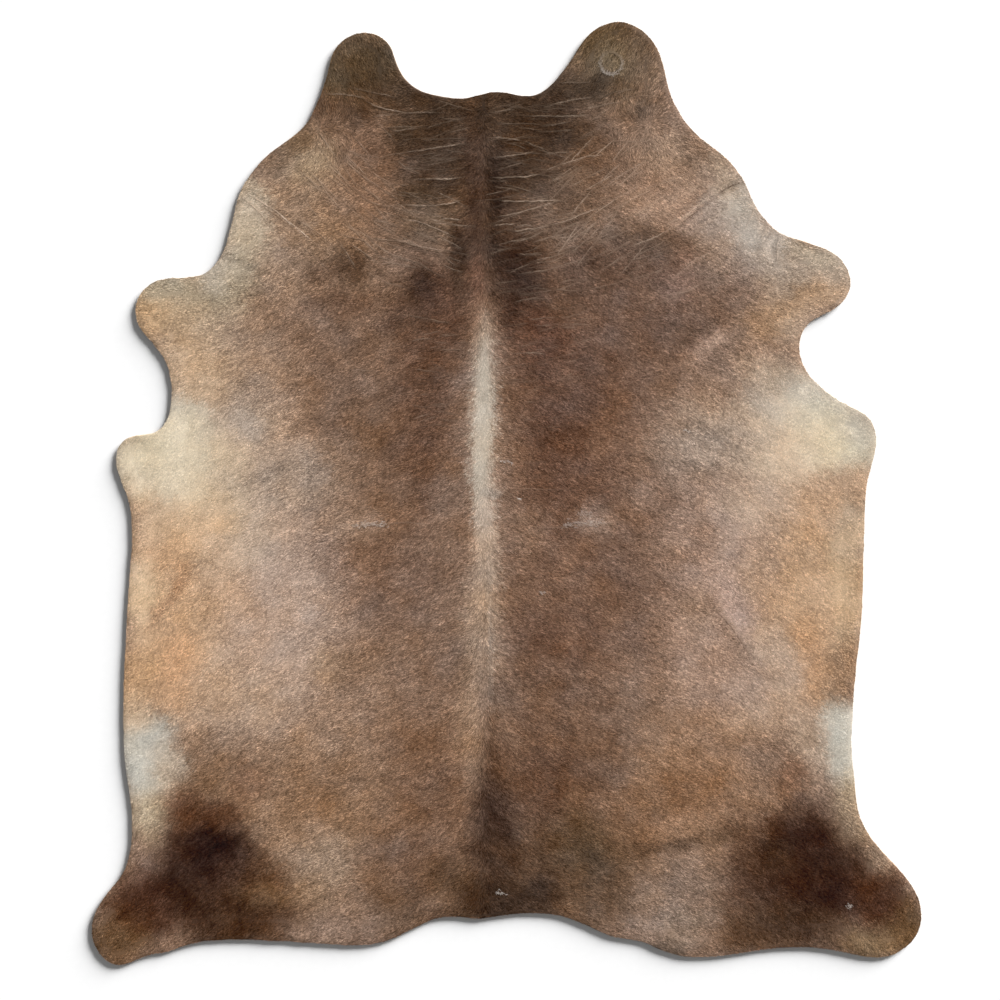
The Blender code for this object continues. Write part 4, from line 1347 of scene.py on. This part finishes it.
def trimmed(hairs, edge):
    """The hairs with their tips held close to the cut outline."""
    reach_x = np.cos(hairs.angle) * hairs.length
    reach_y = np.sin(hairs.angle) * hairs.length
    start = edge.read(hairs.x, hairs.y)
    end = edge.read(hairs.x + reach_x, hairs.y + reach_y)
    beyond = -OVERHANG * (0.5 + 0.5 * noise(hairs.x, hairs.y, 0.5, SEED + 5))
    share = np.where(end < beyond, (start - beyond) / np.maximum(start - end, 0.01), 1)
    hairs.length = hairs.length * np.clip(share, SHORTEST, 1)
    return hairs


def hair_normals(place, forward, side, fields, rng):
    """Normals at each hair's three corners: the wrinkles' own, rounded over the hair's width."""
    x, y = place.T
    _, relief, edge = fields
    east, west = (standing(x + step, y, relief, edge) for step in (SLOPE_STEP, -SLOPE_STEP))
    north, south = (standing(x, y + step, relief, edge) for step in (SLOPE_STEP, -SLOPE_STEP))
    run = 2 * SLOPE_STEP * UNIT / MM
    slopes = np.stack([west - east, south - north], 1) * SLOPE_SHARE / run
    skin = np.concatenate([slopes, np.ones((len(x), 1))], 1)
    lean = rng.normal(0, HAIR_LEAN, (2, len(x), 1))
    flat = np.zeros((len(x), 1))
    forward = np.concatenate([forward, flat], 1)
    side = np.concatenate([side, flat], 1)
    skin = skin + lean[0] * forward + lean[1] * side
    normals = np.stack([skin - ROUND * side, skin + ROUND * side, skin], 1)
    return normals / np.linalg.norm(normals, axis=2, keepdims=True)


def hair_piece(name, hairs, fields, rng):
    """One mesh of many hairs that follows the skin below it."""
    count = len(hairs.x)
    forward = np.stack([np.cos(hairs.angle), np.sin(hairs.angle)], 1)
    side = np.stack([-forward[:, 1], forward[:, 0]], 1)
    root = np.stack([hairs.x, hairs.y], 1)
    half = side * (hairs.width / 2)[:, None]
    tip = root + forward * hairs.length[:, None]
    x, y = np.stack([root - half, root + half, tip], 1).reshape(-1, 2).T
    lift = np.stack([hairs.root, hairs.root, hairs.tip], 1).ravel()
    height = skin_top(x, y, *fields) + lift
    corners = np.arange(3 * count)
    triangles = corners.reshape(-1, 3)[:, (0, 2, 1)]
    piece = mesh_object(name, in_metres(x, y, height), triangles)
    middle = (root + tip) / 2
    normals = hair_normals(middle, forward, side, fields, rng)
    piece.data.normals_split_custom_set_from_vertices(normals.reshape(-1, 3))
    shade = np.array(HAIR_SHADES)[None, :, None]
    add_colour(piece, (hairs.colour[:, None, :] * shade).reshape(-1, 3))

    strand = np.tile([(0.0, 0.0), (1.0, 0.0), (0.5, 1.0)], (count, 1, 1))
    strand = (strand + rng.uniform(0, STRAND_PLACES, (count, 1, 2))).reshape(-1, 2)
    plan = np.stack([x, y], 1) / CHART_LENGTH + 0.5
    add_uv(piece, "OFBake", plan[triangles.ravel()])
    add_uv(piece, "strand", strand[triangles.ravel()])
    piece.data.materials.append(hair_material())
    return piece


# ---- materials


def new_material(name):
    """A material, its nodes, and its shader."""
    material = bpy.data.materials.new(name)
    material.use_nodes = True
    return material, material.node_tree, material.node_tree.nodes["Principled BSDF"]


def add_node(tree, kind, **settings):
    """A node with some of its settings and inputs set."""
    node = tree.nodes.new(kind)
    for key, value in settings.items():
        if hasattr(node, key):
            setattr(node, key, value)
        else:
            node.inputs[key.replace("_", " ")].default_value = value
    return node


def spread(tree, value, low, high):
    """A value from 0 to 1 taken to another range."""
    node = add_node(tree, "ShaderNodeMapRange", To_Min=low, To_Max=high)
    tree.links.new(value, node.inputs["Value"])
    return node.outputs["Result"]


def multiplied(tree, colour, value):
    """A colour made lighter or darker by a value."""
    node = add_node(tree, "ShaderNodeMix", data_type="RGBA", blend_type="MULTIPLY")
    node.inputs["Factor"].default_value = 1.0
    tree.links.new(colour, node.inputs["A"])
    tree.links.new(value, node.inputs["B"])
    return node.outputs["Result"]


def painted_noise(tree, scale, detail, stretch=(1.0, 1.0, 1.0), place=None):
    """Noise over some coordinates, the object's own if none are given, and stretched."""
    if place is None:
        place = add_node(tree, "ShaderNodeTexCoord").outputs["Object"]
    mapping = add_node(tree, "ShaderNodeMapping")
    mapping.inputs["Scale"].default_value = stretch
    tree.links.new(place, mapping.inputs["Vector"])
    node = add_node(tree, "ShaderNodeTexNoise", Scale=scale, Detail=detail)
    tree.links.new(mapping.outputs["Vector"], node.inputs["Vector"])
    return node.outputs["Fac"]


def ramped(tree, value, low, high):
    """A mix of two colours by a value."""
    node = add_node(tree, "ShaderNodeMix", data_type="RGBA")
    node.inputs["A"].default_value = (*linear(np.array(low) / 255), 1.0)
    node.inputs["B"].default_value = (*linear(np.array(high) / 255), 1.0)
    tree.links.new(value, node.inputs["Factor"])
    return node.outputs["Result"]


def charted(tree):
    """The colour that the piece's points carry."""
    return add_node(tree, "ShaderNodeVertexColor", layer_name="coat_colour").outputs["Color"]


def dressed(made, colour, grain, rough, gloss, bump=None):
    """The material, given its colour and gloss, and from one grain its roughness and its bump,
    as a depth in metres and a strength."""
    material, tree, shader = made
    tree.links.new(colour, shader.inputs["Base Color"])
    tree.links.new(spread(tree, grain, *rough), shader.inputs["Roughness"])
    shader.inputs["Specular IOR Level"].default_value = gloss
    if bump:
        node = add_node(tree, "ShaderNodeBump", Distance=bump[0], Strength=bump[1])
        tree.links.new(grain, node.inputs["Height"])
        tree.links.new(node.outputs["Normal"], shader.inputs["Normal"])
    return material


def hair_material():
    """Smooth short hair: the charted colour, with streaks along each hair and a fine grain."""
    known = bpy.data.materials.get("coat_hair")
    if known:
        return known
    made = new_material("coat_hair")
    tree = made[1]
    strand = add_node(tree, "ShaderNodeUVMap", uv_map="strand").outputs["UV"]
    streaks = painted_noise(tree, scale=1.0, detail=3.0, stretch=(9.0, 1.3, 1.0), place=strand)
    grain = painted_noise(tree, scale=320.0, detail=2.0)
    colour = multiplied(tree, charted(tree), spread(tree, streaks, 0.72, 1.28))
    colour = multiplied(tree, colour, spread(tree, grain, 0.5, 1.5))
    return dressed(made, colour, streaks, rough=(0.62, 0.48), gloss=0.08, bump=(0.0003, 0.5))


def coat_base():
    """The dense undercoat below the hairs, duller than they are, its colour darkened as painted
    shade between them.
    """
    made = new_material("coat_undercoat")
    tree = made[1]
    fuzz = painted_noise(tree, scale=900.0, detail=4.0, stretch=(1.0, 0.35, 1.0))
    colour = multiplied(tree, charted(tree), spread(tree, fuzz, 0.7, 1.25))
    return dressed(made, colour, fuzz, rough=(0.75, 0.6), gloss=0.25, bump=(0.0006, 0.7))


def cut_leather():
    """The cut through the leather: pale, and fibrous from side to side."""
    made = new_material("cut_leather_edge")
    fibre = painted_noise(made[1], scale=420.0, detail=5.0, stretch=(1.0, 1.0, 3.0))
    colour = ramped(made[1], fibre, (126, 104, 84), (196, 176, 152))
    return dressed(made, colour, fibre, rough=(0.7, 0.9), gloss=0.25, bump=(0.0004, 0.6))


def suede():
    """The flesh side: buffed suede with a short nap and faint cloudy patches."""
    made = new_material("suede_underside")
    tree = made[1]
    nap = painted_noise(tree, scale=700.0, detail=4.0)
    cloud = painted_noise(tree, scale=14.0, detail=3.0)
    base = ramped(tree, cloud, (168, 146, 122), (194, 174, 150))
    colour = multiplied(tree, base, spread(tree, nap, 0.85, 1.12))
    made[2].inputs["Sheen Weight"].default_value = 0.15
    return dressed(made, colour, nap, rough=(0.82, 0.95), gloss=0.2, bump=(0.0003, 0.5))


def floor_material():
    """A plain pale floor."""
    made = new_material("pale_floor")
    grain = painted_noise(made[1], scale=60.0, detail=3.0)
    colour = ramped(made[1], grain, (246, 246, 246), (250, 250, 250))
    return dressed(made, colour, grain, rough=(0.75, 0.85), gloss=0.1)


# ---- floor, light and camera


def make_floor():
    """The pale floor, just below the hide."""
    bpy.ops.mesh.primitive_grid_add(x_subdivisions=12, y_subdivisions=12, size=FLOOR_SIZE)
    floor = bpy.context.object
    floor.name = "floor"
    floor.location.z = -FLOOR_GAP
    floor.data.materials.append(floor_material())


def light_from_upper_right():
    """One broad low light from beyond the right neck lobe, with even light all round."""
    lamp = bpy.data.lights.new("key", "SUN")
    lamp.energy = KEY_STRENGTH
    lamp.angle = math.radians(KEY_WIDTH)
    key = bpy.data.objects.new("key", lamp)
    key.rotation_euler = (math.radians(90 - KEY_HEIGHT), 0, math.radians(KEY_TURN + 90))
    bpy.context.scene.collection.objects.link(key)

    world = bpy.data.worlds.new("studio")
    world.use_nodes = True
    tree = world.node_tree
    around = tree.nodes["Background"]
    around.inputs["Strength"].default_value = FILL_STRENGTH
    seen = add_node(tree, "ShaderNodeBackground", Strength=1.0)
    for background in (around, seen):
        background.inputs["Color"].default_value = (1.0, 1.0, 1.0, 1.0)
    ray = add_node(tree, "ShaderNodeLightPath")
    mix = add_node(tree, "ShaderNodeMixShader")
    tree.links.new(ray.outputs["Is Camera Ray"], mix.inputs[0])
    tree.links.new(around.outputs["Background"], mix.inputs[1])
    tree.links.new(seen.outputs["Background"], mix.inputs[2])
    tree.links.new(mix.outputs["Shader"], tree.nodes["World Output"].inputs["Surface"])
    bpy.context.scene.world = world


def camera_above():
    """Straight above the hide, with the neck at the top of the picture."""
    lens = bpy.data.cameras.new("above")
    lens.lens = LENS
    lens.sensor_width = SENSOR
    lens.clip_end = 100.0
    camera = bpy.data.objects.new("above", lens)
    distance = PICTURE_WIDTH * UNIT * LENS / SENSOR
    camera.location = (PICTURE_MIDDLE[0] * UNIT, PICTURE_MIDDLE[1] * UNIT, distance + COAT_TOP)
    bpy.context.scene.collection.objects.link(camera)
    bpy.context.scene.camera = camera


# ---- all together


def main():
    rng = np.random.default_rng(SEED)
    outline = cut_outline()
    edge = distance_field(outline)
    lines = wrinkle_lines(rng)
    curl = curl_field(edge)
    relief = relief_field(lines)
    fields = (curl, relief, edge)
    creases = [(arc_points(*arc), strength) for *arc, strength in CREASE_LINES]
    light_and_shade = light_and_shade_fields(lines, creases)
    fold_shading = light_and_shade[-1]
    skin = make_skin(outline, fields, fold_shading, rng)
    # hairs combed along the crests, lightened as painted highlight
    crest_highlight = (CREST_HIGHLIGHT_HAIR, CREST_SHARE, CREST_SPREAD, CREST_RAISED)
    # hairs combed along the creases, darkened as painted shade
    crease_shade = (CREASE_SHADE_HAIR, CREASE_SHARE, CREASE_SPREAD, 0.0)
    hairs = coat_hairs(edge, light_and_shade, rng).joined(combed_hairs(lines, fold_shading, crest_highlight, rng))
    hairs = hairs.joined(combed_hairs(creases, fold_shading, crease_shade, rng)).joined(scar_hairs(fold_shading, rng))
    hairs = trimmed(hairs, edge)
    pieces = []
    for name, low, high in HAIR_PIECES:
        here = hairs.chosen((hairs.y >= low) & (hairs.y < high))
        pieces.append(hair_piece(name, here, fields, rng))
    for piece in (skin, *pieces):
        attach(piece, "root")
    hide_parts("hide")
    make_floor()
    light_from_upper_right()
    camera_above()
    bpy.context.scene.view_settings.view_transform = "Standard"


main()
